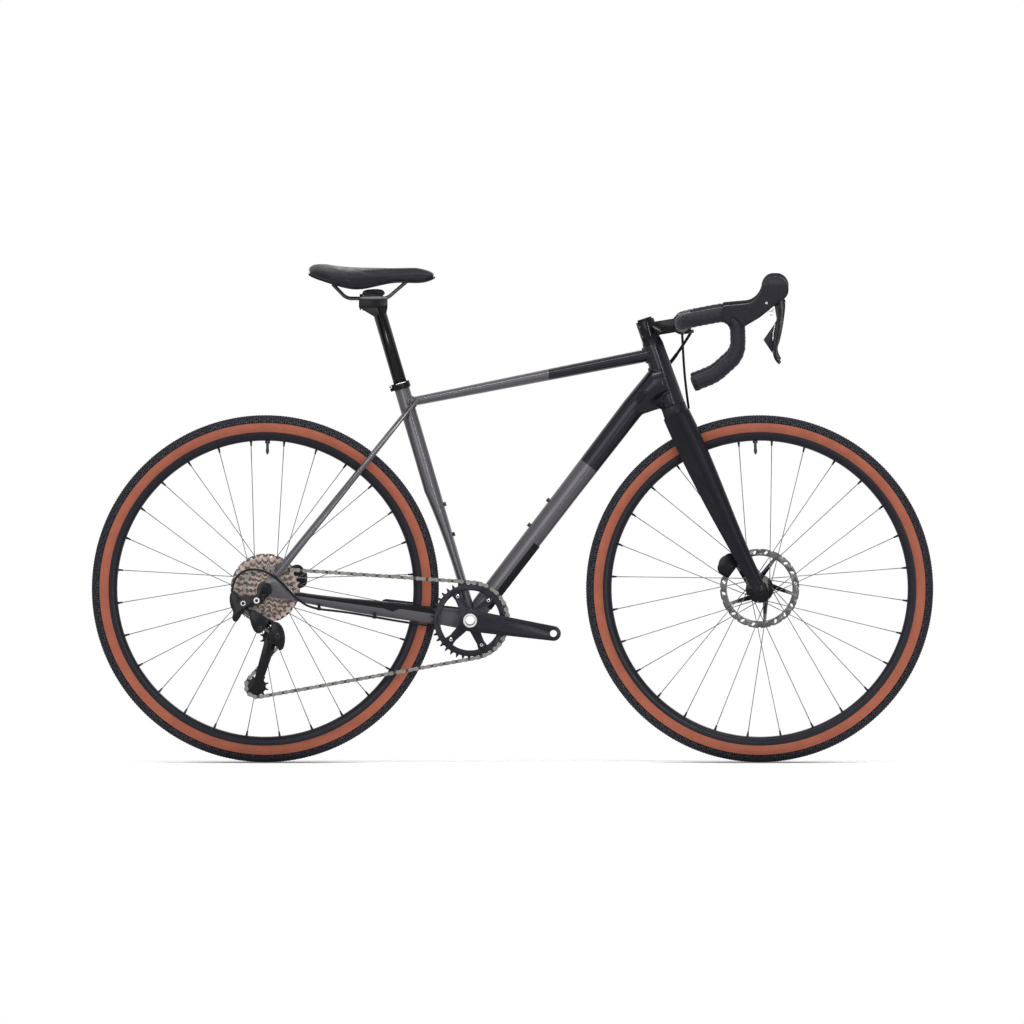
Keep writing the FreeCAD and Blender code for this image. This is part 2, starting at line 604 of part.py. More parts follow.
def wheel(name, axle, spoke_turn, flanges):
    """Tyre, rim with valve, and crossed spokes of one wheel."""
    half_tyre = s.tyre_width / 2
    half_tread = s.tread_width / 2
    shoulder = s.tyre_radius - s.tread_drop
    middle = (s.rim_radius + shoulder) / 2
    half_bead = s.rim_width / 2 - s.rim_wall
    bead_foot = s.rim_radius - s.rim_wall
    half_foot = half_bead - s.rim_wall * s.rim_wall / s.rim_well - s.seat_gap

    def at(radius, across):
        return axle + V(radius, across, 0)

    inner_crown = s.tyre_radius - 2 * s.tyre_wall
    tyre = revolved([
        at(bead_foot, half_foot), at(s.rim_radius + s.seat_gap, half_bead - s.seat_gap),
        at(s.rim_radius + s.seat_gap, s.rim_width / 2),
        (at(middle, half_tyre), at(shoulder, half_tread)),
        (at(s.tyre_radius, 0), at(shoulder, -half_tread)),
        (at(middle, -half_tyre), at(s.rim_radius + s.seat_gap, -s.rim_width / 2)),
        at(s.rim_radius + s.seat_gap, -half_bead + s.seat_gap), at(bead_foot, -half_foot),
        at(bead_foot, -half_bead + s.tyre_wall), at(middle, -half_tyre + s.tyre_wall),
        at(inner_crown, -half_tread / 2), at(inner_crown, half_tread / 2),
        at(middle, half_tyre - s.tyre_wall), at(bead_foot, half_bead - s.tyre_wall),
    ], axle, LEFT)
    node(f"{name}_tyre", tyre)

    half_rim = s.rim_width / 2
    inner = s.rim_radius - s.rim_depth
    well = s.rim_radius - s.rim_well
    half_bed = s.rim_bed_width / 2
    rim_body = revolved([
        at(s.rim_radius, half_rim), at(s.rim_radius, half_bead), at(well, half_bead - s.rim_wall),
        at(well, -half_bead + s.rim_wall), at(s.rim_radius, -half_bead), at(s.rim_radius, -half_rim),
        at(well, -half_rim), (at(inner + s.seat_gap, -half_bed), at(inner, 0)),
        (at(inner + s.seat_gap, half_bed), at(well, half_rim)),
    ], axle, LEFT)
    valve_way = turned(UP, LEFT, spoke_turn - 180 / s.spoke_count)
    valve = cylinder("valve_radius", axle + valve_way * (inner - s.valve_length), axle + valve_way * inner)
    node(f"{name}_rim", group(rim_body, valve))

    count = int(s.spoke_count)
    spokes = []
    for spoke in range(count):
        side = RIGHT_SIDE if spoke % 2 == 0 else LEFT_SIDE
        flange = flanges[0] if side == RIGHT_SIDE else flanges[1]
        leading = 1 if (spoke // 2) % 2 == 0 else -1
        rim_angle = spoke_turn + 360 * spoke / count
        hub_angle = rim_angle + leading * 360 * s.spoke_crosses / (count / 2)
        beside = leading * (s.flange_thickness / 2 + s.spoke_radius + s.seat_gap)
        hub_end = turned(UP, LEFT, hub_angle) * (s.flange_radius - s.flange_rim) + LEFT * (flange + beside)
        rim_end = turned(UP, LEFT, rim_angle) * (inner - s.spoke_radius) + LEFT * (side * s.spoke_spread)
        spokes.append(spoke_rod(axle + hub_end, axle + rim_end))
    node(f"{name}_spokes", group(*spokes))


def spoke_rod(start, end):
    """Six-sided rod between two points."""
    obj = doc.addObject("Part::Prism", "spoke")
    obj.Polygon = 6
    obj.setExpression("Circumradius", linked("spoke_radius"))
    obj.Height = (end - start).Length
    obj.Placement = FreeCAD.Placement(start, FreeCAD.Rotation(UP, end - start))
    return obj


def hub_body(axle, width, flange_right, flange_left, rotor_offset, freehub=False):
    """Hub shell turned about the axle, with flanges, end caps and the rotor's seat."""
    half = width / 2
    bore = s.axle_radius + s.running_clearance
    half_flange = s.flange_thickness / 2
    cap = half - s.hub_cap_length
    rotor_face = rotor_offset - s.rotor_thickness / 2
    right = []
    if freehub:
        right = [(s.hub_cap_radius, -s.freehub_end), (s.freehub_radius, -s.freehub_end)]
        right.append((s.freehub_radius, -flange_right - half_flange))
    else:
        right = [(s.hub_cap_radius, -cap), (s.hub_shell_radius, -cap)]
        right.append((s.hub_shell_radius, -flange_right - half_flange))
    profile = [(bore, -half), (s.hub_cap_radius, -half)] + right
    profile += [(s.flange_radius, -flange_right - half_flange),
                (s.flange_radius, -flange_right + half_flange),
                (s.hub_shell_radius, -flange_right + half_flange),
                (s.hub_shell_radius, flange_left - half_flange), (s.flange_radius, flange_left - half_flange),
                (s.flange_radius, flange_left + half_flange),
                (s.rotor_seat_radius, flange_left + half_flange),
                (s.rotor_seat_radius, rotor_face), (s.rotor_bore, rotor_face), (s.rotor_bore, cap),
                (s.hub_cap_radius, cap), (s.hub_cap_radius, half), (bore, half)]
    return revolved([axle + V(radius, across, 0) for radius, across in profile], axle, LEFT)


def slot_points(middle, along, length, width):
    """Outline of a slot with round ends, across the wheel's plane."""
    reach = along * ((length - width) / 2)
    end = along * (width / 2)
    beside = turned(end, LEFT, 90)
    return [middle - reach + beside, middle + reach + beside, (middle + reach + end, middle + reach - beside),
            middle - reach - beside, (middle - reach - end, middle - reach + beside)]


def rotor_body(axle, offset, radius_name):
    """Brake disc: scalloped band, leaning arms and a splined centre."""
    radius = getattr(s, radius_name)
    centre = axle + LEFT * (offset - s.rotor_thickness / 2)
    face = centre + LEFT * s.rotor_thickness
    past = LEFT * s.overrun
    band = ring(radius_name, f"{radius_name} - rotor_band", centre, face)
    scallops = []
    count = int(s.rotor_scallops)
    for index in range(count):
        spot = turned(UP, LEFT, 360 * index / count) * (radius + s.rotor_scallop_radius / 2)
        scallops.append(cylinder("rotor_scallop_radius", centre + spot - past, face + spot + past))
    arms = []
    arm_start = s.rotor_hub_radius - s.rotor_arm_width / 3
    arm_end = radius - s.rotor_band / 2
    for index in range(int(s.rotor_arms)):
        turn = 360 * index / s.rotor_arms
        start = turned(UP, LEFT, turn) * arm_start
        end = turned(UP, LEFT, turn + s.rotor_arm_lean) * arm_end
        beside = unit((end - start).cross(LEFT)) * (s.rotor_arm_width / 2)
        arms.append(plate([centre + start - beside, centre + start + beside, centre + end + beside / 2,
                           centre + end - beside / 2], LEFT, "rotor_thickness"))
    hub_ring = cylinder("rotor_hub_radius", centre, face)
    holes = [cylinder("rotor_bore", centre - past, face + past)]
    in_row = int(s.rotor_windows / s.rotor_arms)
    for index in range(int(s.rotor_windows)):
        share = index // in_row + (index % in_row + 1) / (in_row + 1)
        outward = turned(UP, LEFT, s.rotor_arm_lean + 360 * share / s.rotor_arms)
        spot = centre + outward * (radius - s.rotor_band / 2) - past
        leaning = turned(outward, LEFT, s.rotor_window_lean)
        holes.append(plate(slot_points(spot, leaning, s.rotor_window, s.rotor_window_width), LEFT,
                           "rotor_thickness + 2 * overrun"))
    return cut(fuse(cut(band, *scallops), hub_ring, *arms), *holes)


def thru_axle(axle, half_width, thickness):
    """Axle with a head outside the right-hand end."""
    end = half_width + thickness
    rod = cylinder("axle_radius", axle - LEFT * end, axle + LEFT * end)
    head = cylinder("axle_head_radius", axle - LEFT * (end + s.axle_head_length), axle - LEFT * end)
    return fuse(rod, head)


def build_wheels():
    """Front and rear wheels, their hubs, rotors and axles, and the cassette."""
    front_flanges = (-s.front_flange_right, s.front_flange_left)
    rear_flanges = (-s.rear_flange_right, s.rear_flange_left)
    front_hub = hub_body(front_axle, s.front_hub_width, s.front_flange_right, s.front_flange_left,
                         s.front_rotor_offset)
    rear_hub = hub_body(rear_axle, s.rear_hub_width, s.rear_flange_right, s.rear_flange_left,
                        s.rear_rotor_offset, freehub=True)
    wheel("front", front_axle, s.front_spoke_turn, front_flanges)
    wheel("rear", rear_axle, s.rear_spoke_turn, rear_flanges)
    node("front_hub", front_hub)
    node("rear_hub", rear_hub)
    node("front_rotor", rotor_body(front_axle, s.front_rotor_offset, "front_rotor_radius"))
    node("rear_rotor", rotor_body(rear_axle, s.rear_rotor_offset, "rear_rotor_radius"))
    node("front_thru_axle", thru_axle(front_axle, s.front_hub_width / 2 + s.leg_end_gap, s.leg_end_width))
    rear_wall = s.dropout_thickness + s.hanger_thickness
    node("rear_thru_axle", thru_axle(rear_axle, s.rear_hub_width / 2, rear_wall))

    cogs = []
    for index, teeth in enumerate(COG_TEETH):
        from_chain = index - int(s.chain_cog)
        across = -s.chain_line + from_chain * s.cog_pitch
        centre = rear_axle + LEFT * (across - s.cog_thickness / 2)
        on_chain = from_chain == 0
        first_pin = nearest_pin(chain_line.cog) if on_chain else UP
        tip = s.tooth_tip if on_chain else 0
        blank = plate(sprocket_points(teeth, centre, first_pin, tip), LEFT, "cog_thickness")
        bore = cylinder("cog_bore", centre - LEFT * s.overrun, centre + LEFT * (s.cog_thickness + s.overrun))
        cogs.append(cut(blank, bore))
        if index > 0:
            spacer_start = centre - LEFT * (s.cog_pitch - s.cog_thickness)
            cogs.append(ring("lockring_radius", "cog_bore", spacer_start, centre))
    node("cassette", group(*cogs))


# Frame


def build_frame():
    """Tubes, stays, dropouts and the small pieces that stay on the frame."""
    half_shell = LEFT * (s.bb_shell_width / 2)
    shell_outer = cylinder("bb_shell_radius", bb - half_shell, bb + half_shell)
    shell_bore = cylinder("bb_bore", bb - half_shell * 2, bb + half_shell * 2)
    node("bottom_bracket_shell", cut(shell_outer, shell_bore))
    build_bb_cups()

    head_outer = cone("head_tube_low_radius", "head_tube_top_radius", head_low, head_top)
    past = steer_up * s.overrun
    head_bore = cylinder("head_bore", head_low - past, head_top + past)
    node("head_tube", cut(head_outer, head_bore))
    tall = steer_up * s.bearing_height
    bearings = [
        ring("head_bore", "steerer_radius + running_clearance", head_low, head_low + tall),
        ring("head_bore", "steerer_radius + running_clearance", head_top - tall, head_top),
    ]
    node("headset_bearings", group(*bearings))

    seat_solid = seat_tube_solid()
    relief_end = bb + seat_up * (s.seat_tube_length * s.relief_end_share)
    post_bore = cylinder("post_radius + running_clearance", relief_end + seat_up * s.post_bore_rise,
                         seat_top + seat_up * s.overrun)
    node("seat_tube", cut(seat_solid, shell_outer, post_bore))

    top_start = seat_top - seat_up * s.top_tube_seat_drop
    top_end = head_top - steer_up * s.top_tube_head_drop
    top_along = unit(top_end - top_start)
    top_upward = turned(top_along, LEFT, -90)
    top_raw = loft([oval("top_tube_rear_height", "top_tube_rear_width", top_start, top_along, top_upward),
                    oval("top_tube_front_height", "top_tube_front_width", top_end, top_along, top_upward)])
    top_tube = cut(top_raw, seat_solid, head_outer)

    down_raw = down_tube_solid()
    node("down_tube", cut(down_raw, shell_outer, head_outer, top_raw, seat_solid))
    node("top_tube", top_tube)

    stays = [chainstay(side) for side in BOTH_SIDES]
    cup_room = cylinder("cup_radius + side_clearance", bb - half_shell * 2, bb + half_shell * 2)
    node("chainstays", group(*[cut(stay, shell_outer, cup_room, seat_solid, down_raw) for stay in stays]))
    seatstays = [cut(seatstay(side), seat_solid, top_raw) for side in BOTH_SIDES]
    node("seatstays", group(*seatstays))
    node("rear_dropouts", group(*[dropout(side, stays) for side in BOTH_SIDES]))
    node("derailleur_hanger", hanger(stays[0]))
    build_frame_trim(seat_solid, down_raw, stays[0])


def build_bb_cups():
    """Screwed-in cups with the bearings that the spindle turns in."""
    cups = []
    for side in BOTH_SIDES:
        outward = LEFT * side
        face = bb + outward * (s.bb_shell_width / 2)
        flange = cylinder("cup_radius", face, face + outward * s.cup_length)
        sleeve = cylinder("bb_bore", face - outward * s.cup_depth, face)
        bore = cylinder("spindle_radius + running_clearance", face - outward * (s.cup_depth + s.overrun),
                        face + outward * (s.cup_length + s.overrun))
        cups.append(cut(fuse(flange, sleeve), bore))
    node("bottom_bracket_cups", group(*cups))


def seat_tube_solid():
    """Seat tube: round above, drawn in behind for the tyre below."""
    ahead = turned(seat_up, LEFT, 90)
    relief = (2 * s.seat_tube_radius - s.seat_tube_foot_depth) / 2
    start = bb + ahead * relief
    low = bb + seat_up * (s.seat_tube_length * s.relief_start_share) + ahead * relief
    upper = bb + seat_up * (s.seat_tube_length * s.relief_end_share)
    sections = [oval("seat_tube_foot_depth", "seat_tube_foot_width", start, seat_up, ahead),
                oval("seat_tube_foot_depth", "seat_tube_foot_width", low, seat_up, ahead)]
    round_end = cylinder("seat_tube_radius", upper, seat_top)
    circle = doc.addObject("Part::Circle", "round")
    circle.setExpression("Radius", linked("seat_tube_radius"))
    circle.Placement = frame_of(upper, seat_up, ahead.cross(seat_up) * -1)
    return fuse(loft(sections + [circle]), round_end)


def down_tube_along():
    """Direction of the down tube from the bottom bracket."""
    return unit(down_tube_end - bb)


def down_tube_at(share):
    """Point of the down tube's middle line at a share of the way to the head tube."""
    return bb + (down_tube_end - bb) * share


def down_tube_solid(extra=0.0):
    """Down tube: creased sides and keel, flaring into the head tube."""
    crease_share, keel_share = -0.42, 0.55
    along = down_tube_along()
    upward = turned(along, LEFT, -90)
    spread = 2 * extra
    head_spot = head_low + steer_up * s.down_tube_head_centre
    rows = [
        (s.down_tube_low_height, s.down_tube_low_width, 0),
        (s.down_tube_low_height, s.down_tube_low_width, s.down_tube_low_share),
        (s.down_tube_mid_height, s.down_tube_mid_width, s.down_tube_mid_share),
        (s.down_tube_top_height, s.down_tube_top_width, s.down_tube_top_share),
    ]
    sections = [keeled(tall + spread, wide + spread, down_tube_at(share), along, upward,
                       crease_share, keel_share) for tall, wide, share in rows]
    for back in (s.down_tube_head_back, 0):
        spot = head_spot - steer_forward * back
        sections.append(keeled(s.down_tube_head_height + spread, s.down_tube_head_width + spread, spot,
                               steer_forward, steer_up, crease_share, keel_share))
    return loft(sections, ruled=True)


def chainstay_rows(side):
    """Places and sizes of a chainstay's sections from the bottom bracket to the dropout."""
    span = rear_axle - bb
    kinds = ("foot", "foot", "mid", "end", "end")
    offsets = (s.chainstay_foot_offset, s.chainstay_ring_offset, s.chainstay_mid_offset,
               s.chainstay_end_offset, s.chainstay_end_offset + s.cog_pitch)
    rows = []
    for kind, offset, (along_share, arch_share) in zip(kinds, offsets, CHAINSTAY_SHARES):
        place = bb + span * along_share + LEFT * (side * offset) - UP * (s.chainstay_arch * arch_share)
        rows.append((f"chainstay_{kind}_height", f"chainstay_{kind}_width", place))
    return rows


def chainstay(side):
    """One chainstay, bowed out round the tyre and the chainring."""
    rows = chainstay_rows(side)
    along = unit(rear_axle - bb)
    upward = turned(along, LEFT, 90)
    return loft([oval(tall, wide, place, along, upward) for tall, wide, place in rows])


def seatstay_ends(side):
    """Ends of one seatstay's middle line."""
    low = rear_axle + V(s.seatstay_end_ahead, side * s.seatstay_end_offset, s.seatstay_end_above)
    high = seat_top - seat_up * s.top_tube_seat_drop
    high = high + V(s.seatstay_top_ahead, side * s.seatstay_top_offset, s.seatstay_top_above)
    return low, high


def seatstay(side):
    """One slim seatstay, running past the seat tube to the top tube."""
    low, high = seatstay_ends(side)
    along = unit(high - low)
    upward = turned(unit(V(along.x, 0, along.z)), LEFT, -90)
    return loft([oval("seatstay_height", "seatstay_width", place, along, upward) for place in (low, high)])


def dropout(side, stays):
    """Plate that joins the stays and holds the axle."""
    low, _ = seatstay_ends(side)
    inner = LEFT * (side * s.rear_hub_width / 2)
    centre = rear_axle + inner
    eye = s.dropout_eye_radius
    nose = V(low.x, centre.y, low.z)
    stay_end = chainstay_rows(side)[-2][2]
    heel = V(stay_end.x, centre.y, stay_end.z - s.chainstay_end_height / 2)
    toe = heel + UP * s.chainstay_end_height
    points = [centre + V(-eye, 0, 0), (centre + V(-eye, 0, eye) / math.sqrt(2), centre + V(0, 0, eye)),
              nose + V(-s.seatstay_width / 2, 0, s.seatstay_height),
              nose + V(s.seatstay_width, 0, 0), toe, heel,
              centre + V(0, 0, -eye), (centre + V(-eye, 0, -eye) / math.sqrt(2), centre + V(-eye, 0, 0))]
    body = plate(points, LEFT * side, "dropout_thickness")
    hole = cylinder("axle_radius + running_clearance", centre - inner, centre + inner)
    return cut(body, hole, stays[0 if side == RIGHT_SIDE else 1], seatstay(side))


def hanger(stay):
    """Replaceable plate that carries the derailleur's bolt, cut to clear the stay."""
    start = rear_axle - LEFT * (s.rear_hub_width / 2 + s.dropout_thickness)
    bolt = start + V(-s.hanger_bolt_back, 0, -s.hanger_bolt_drop)
    along = unit(bolt - start)
    beside = turned(along, LEFT, 90)
    eye = s.dropout_eye_radius - s.seat_gap
    small = s.hanger_eye_radius
    points = [start + beside * eye, (start - along * eye, start - beside * eye), bolt - beside * small,
              (bolt + along * small, bolt + beside * small)]
    outward = -LEFT
    body = plate(points, outward, "hanger_thickness")
    hole = cylinder("axle_radius + running_clearance", start + LEFT * s.overrun,
                    start + outward * (s.hanger_thickness + s.overrun))
    return cut(body, hole, stay)


def build_frame_trim(seat_solid, down_raw, right_stay):
    """Seat clamp, bottle bolts, guards and the cable port."""
    top = seat_top + seat_up * s.clamp_lift
    low = top - seat_up * s.clamp_height
    ears_middle = (low + top) / 2 + turned(seat_up, LEFT, -90) * s.clamp_radius
    backward = turned(seat_up, LEFT, -90)
    ears = block("clamp_ear", "clamp_ear_width", "clamp_height", ears_middle, backward, seat_up)
    collar = fuse(cylinder("clamp_radius", low, top), ears)
    slot = block("clamp_ear * 3", "clamp_slot", "clamp_height + overrun", ears_middle, backward, seat_up)
    inner = cylinder("seat_tube_radius", low - seat_up * s.overrun, top + seat_up * s.overrun)
    node("seat_clamp", cut(collar, slot, inner))

    along = down_tube_along()
    upward = turned(along, LEFT, -90)
    ahead = turned(seat_up, LEFT, 90)
    bolts = []
    for sense in (-1, 1):
        shift = sense * s.bottle_spacing / 2
        tall = s.down_tube_mid_height / 2 - s.bolt_head_height
        spot = bb + along * (s.down_tube_bolts_at + shift) + upward * tall
        head = cylinder("bolt_head_radius", spot, spot + upward * (2 * s.bolt_head_height))
        bolts.append(cut(head, down_raw))
        spot = bb + seat_up * (s.seat_tube_bolts_at + shift)
        spot = spot + ahead * (s.seat_tube_radius - s.bolt_head_height)
        head = cylinder("bolt_head_radius", spot, spot + ahead * (2 * s.bolt_head_height))
        bolts.append(cut(head, seat_solid))
    node("bottle_bolts", group(*bolts))

    build_guards(down_raw, along, upward)


def build_guards(down_raw, along, upward):
    """Stone guard under the down tube and the cover of the cable port."""
    sleeve = cut(down_tube_solid(s.guard_thickness), down_raw)
    middle = bb + along * s.guard_at - upward * (s.down_tube_mid_height / 2 + s.guard_height / 2)
    window = block("guard_length", "down_tube_mid_width * 2", "down_tube_mid_height", middle, along, upward)
    port_spot = down_tube_at(s.port_share) - LEFT * (s.down_tube_top_width / 2 - s.port_height)
    cover = block("port_length", "4 * port_height", "port_width", port_spot, along, upward)
    node("frame_covers", group(common(sleeve, window), cut(cover, down_raw)))


# Saddle and seatpost


def build_saddle():
    """Seatpost, clamp head, rails, shell and padded cover."""
    bottom = seat_top - seat_up * s.post_insertion
    post = cylinder("post_radius", bottom, post_head)
    clamp_x = post_head.x - s.post_head_back
    cradle = block("post_head_length", "post_head_width", "post_head_height",
                   V(clamp_x, 0, rail_height - s.post_head_height / 2), FORWARD, UP)
    yoke = block("yoke_length", "post_head_width", "yoke_height",
                 V(clamp_x, 0, rail_height + s.yoke_height / 2), FORWARD, UP)
    bolt_spot = V(clamp_x - s.clamp_bolt_back, 0, rail_height)
    bolt = cylinder("clamp_bolt_radius", bolt_spot - UP * (s.post_head_height + s.yoke_height),
                    bolt_spot + UP * s.yoke_height)
    wires = [rail_path(side) for side in BOTH_SIDES]
    rails = [tube_along(wire, "rail_radius") for wire in wires]
    rail_room = [tube_along(wire, "rail_radius") for wire in wires]
    node("seatpost", post_solid(post, clamp_x, bolt))
    node("saddle_clamp", cut(fuse(cradle, yoke, bolt), *rail_room))
    node("saddle_rails", group(*rails))
    cover = loft(saddle_sections(True))
    node("saddle_shell", cut(loft(saddle_sections(False)), cover, *rail_room))
    node("saddle_cover", cut(cover, *rail_room))


def post_solid(post, clamp_x, bolt):
    """Seatpost with a head that spreads out under the cradle."""
    ahead = turned(seat_up, LEFT, 90)
    neck = post_head - seat_up * s.post_neck_drop - LEFT * (s.post_neck_width / 2)
    seat = V(clamp_x, neck.y, rail_height - s.post_head_height)
    half = FORWARD * (s.post_head_length / 2)
    points = [neck - ahead * s.post_radius, seat - half - UP * s.post_neck_lip, seat - half, seat + half,
              seat + half - UP * s.post_neck_lip, neck + ahead * s.post_radius]
    head = plate(points, LEFT, "post_neck_width")
    above = block("post_head_length * 2", "post_head_width * 2", "post_head_length * 2",
                  V(clamp_x, 0, rail_height - s.post_head_height + s.post_head_length), FORWARD, UP)
    return cut(fuse(post, head), above, bolt)


def saddle_sections(padded):
    """Rows of sections along the saddle: the padded cover, or the shell below it."""
    sections = []
    for along_share, width_share, foot_share, edge_share, crown_share in SADDLE_SHARES:
        x = saddle_nose - s.saddle_length * (1 - along_share)
        half = s.saddle_width * width_share / 2
        foot = saddle_base + s.saddle_height * foot_share
        if padded:
            edge = saddle_base + s.saddle_height * edge_share
            crown = saddle_base + s.saddle_height * crown_share
            points = [V(x, -half, foot), V(x, half, foot), V(x, half, edge),
                      (V(x, 0, crown), V(x, -half, edge))]
        else:
            inner = half * SHELL_WIDTH_SHARE
            low = foot - s.saddle_shell_depth
            points = [V(x, -inner, low), V(x, inner, low), V(x, inner, foot), V(x, -inner, foot)]
        sections.append(shaped(outline(points)))
    return sections


def rail_path(side):
    """One saddle rail: straight in the clamp, bent up to the shell at both ends."""
    across = LEFT * (side * s.rail_spread)
    heights = (post_head.z + s.rail_rear_rise, rail_height, rail_height, post_head.z + s.rail_front_rise)
    points = []
    for share, height in zip(RAIL_SHARES, heights):
        points.append(V(saddle_nose - s.saddle_length * (1 - share), 0, height) + across)
    points[-1] = points[-1] - across / 2
    return rounded_path(points, [s.rail_bend, s.rail_bend])


# Fork, stem and handlebar


def build_front_end():
    """Fork, headset covers, stem, handlebar and levers."""
    crown_top = head_low - steer_up * s.side_clearance
    steerer_end = stem_middle + steer_up * (s.stem_clamp_height / 2)
    legs = [fork_leg(side) for side in BOTH_SIDES]
    crown_low = crown_top - steer_up * s.crown_height
    top_share, low_share = CROWN_KEEL_SHARES
    crown_raw = loft([
        keeled(s.crown_depth, 2 * s.head_tube_low_radius, crown_top, steer_up, steer_forward, 0, top_share),
        keeled(s.crown_depth, s.crown_width, crown_low, steer_up, steer_forward, 0, low_share),
    ])
    half_room = LEFT * (s.tyre_width * TYRE_ROOM_SHARE)
    tyre_room = cylinder("tyre_radius + crown_height / 4", front_axle - half_room, front_axle + half_room)
    steerer = cylinder("steerer_radius", crown_low + steer_up * s.overrun, steerer_end)
    node("fork_crown", fuse(cut(crown_raw, tyre_room, *legs), steerer))
    node("fork_legs", group(*legs))

    cover_low = head_top + steer_up * s.side_clearance
    cover_top = head_top + steer_up * s.headset_cover_height
    spacer_top = cover_top + steer_up * s.spacer_height
    cap_low = steerer_end
    covers = [
        cut(cone("head_tube_top_radius", "stem_clamp_radius", cover_low, cover_top),
            cylinder("steerer_radius", head_top, spacer_top)),
        ring("stem_clamp_radius", "steerer_radius", cover_top, spacer_top),
        cylinder("stem_clamp_radius - top_cap_height", cap_low, cap_low + steer_up * s.top_cap_height),
    ]
    node("headset_spacers", group(*covers))
    build_stem(spacer_top, steerer_end)
    build_bar()
    build_levers()
    build_calipers(legs)
    build_hoses(legs[1])


def fork_leg(side):
    """One fork leg, deep at the crown and slim at the axle."""
    top = head_low - steer_up * (s.crown_height * LEG_TOP_SHARE)
    reach = front_axle - top
    end_offset = s.front_hub_width / 2 + s.leg_end_gap + s.leg_end_width / 2
    along = unit(V(reach.x, 0, reach.z))
    upward = turned(along, LEFT, -90)

    crease_share, keel_share = -0.1, 0.6
    names = ("leg_top", "leg_mid", "leg_low", "leg_end")
    sections = []
    for name, (share, bow_share) in zip(names, LEG_SHARES):
        offset = s.leg_top_offset + (end_offset - s.leg_top_offset) * share
        place = top + V(reach.x, 0, reach.z) * share + LEFT * (side * offset)
        place = place - upward * (s.leg_bow * bow_share)
        sections.append(keeled(getattr(s, name + "_depth"), getattr(s, name + "_width"), place, along, upward,
                               crease_share, keel_share))
    centre = front_axle + LEFT * (side * (s.front_hub_width / 2 + s.leg_end_gap))
    eye = cylinder("leg_eye_radius", centre, centre + LEFT * (side * s.leg_end_width))
    hole = cylinder("axle_radius + running_clearance", centre - LEFT * (side * s.overrun),
                    centre + LEFT * (side * (s.leg_end_width + s.overrun)))
    hub_room = cylinder("leg_eye_radius", front_axle, centre)
    return cut(fuse(loft(sections), eye), hole, hub_room)


def build_stem(clamp_low, clamp_top):
    """Stem with its steerer clamp and bar clamp, faceplate and bolts."""
    half_face = LEFT * (s.faceplate_width / 2)
    steerer = cylinder("steerer_radius", clamp_low - steer_up * s.overrun, clamp_top + steer_up * s.overrun)
    bar_hole = cylinder("bar_clamp_radius", bar_middle - half_face * 2, bar_middle + half_face * 2)
    clamp = cylinder("stem_clamp_radius", clamp_low, clamp_top)
    arm_middle = (stem_middle + bar_middle) / 2
    rise = turned(stem_along, LEFT, -90)
    arm = block("stem_length", "stem_width", "stem_depth", arm_middle, stem_along, rise)
    barrel = cylinder("faceplate_radius", bar_middle - half_face, bar_middle + half_face)
    split = bar_middle + stem_along * (s.faceplate_radius + s.side_clearance)
    front_half = block("faceplate_radius * 2", "faceplate_width * 2", "faceplate_radius * 4", split,
                       stem_along, rise)
    body = fuse(clamp, arm, cut(barrel, front_half))
    node("stem", cut(body, steerer, bar_hole, front_half))
    gap = bar_middle + stem_along * (s.faceplate_radius + 2 * s.side_clearance)
    front_face = block("faceplate_radius * 2", "faceplate_width * 2", "faceplate_radius * 4", gap,
                       stem_along, rise)
    node("stem_faceplate", cut(common(barrel, front_face), bar_hole))
    bolts = []
    for side in BOTH_SIDES:
        for level in (-1, 1):
            spot = bar_middle + LEFT * (side * s.stem_bolt_spread)
            spot = spot + rise * (level * s.faceplate_radius * STEM_BOLT_SHARE)
            back = spot + stem_along * (s.side_clearance * 2)
            front = spot + stem_along * s.faceplate_radius
            bolts.append(cut(cylinder("stem_bolt_radius", back, front), barrel))
    back = turned(steer_up, LEFT, -90)
    for level in (-1, 1):
        spot = stem_middle + back * (s.stem_clamp_radius - s.stem_bolt_radius)
        spot = spot + steer_up * (level * s.stem_clamp_height / 4)
        reach = LEFT * (s.stem_width / 2)
        bolts.append(cut(cylinder("stem_bolt_radius", spot - reach, spot + reach), clamp))
    node("stem_bolts", group(*bolts))


def bar_corners(side):
    """Corners of one half of the drop bar, from the stem outward."""
    outward = LEFT * side
    return [bar_middle + outward * s.tape_start,
            bar_middle + outward * s.bar_half_width + UP * s.bar_shoulder_rise,
            bar_middle + V(s.bar_ramp_forward, 0, s.bar_ramp_rise)
            + outward * (s.bar_half_width + s.bar_ramp_outward),
            bar_middle + V(s.bar_hook_forward, 0, -s.bar_hook_fall)
            + outward * (s.bar_half_width + s.bar_hook_outward),
            bar_middle + V(s.bar_drop_forward, 0, -s.bar_drop_fall)
            + outward * (s.bar_half_width + s.bar_drop_outward),
            bar_middle + V(s.bar_end_forward, 0, -s.bar_end_fall)
            + outward * (s.bar_half_width + s.bar_end_outward)]


def bar_path(side):
    """Middle line of one half of the drop bar."""
    bends = [s.bar_shoulder_bend, s.bar_ramp_bend, s.bar_hook_bend, s.bar_drop_bend]
    return rounded_path(bar_corners(side), bends)


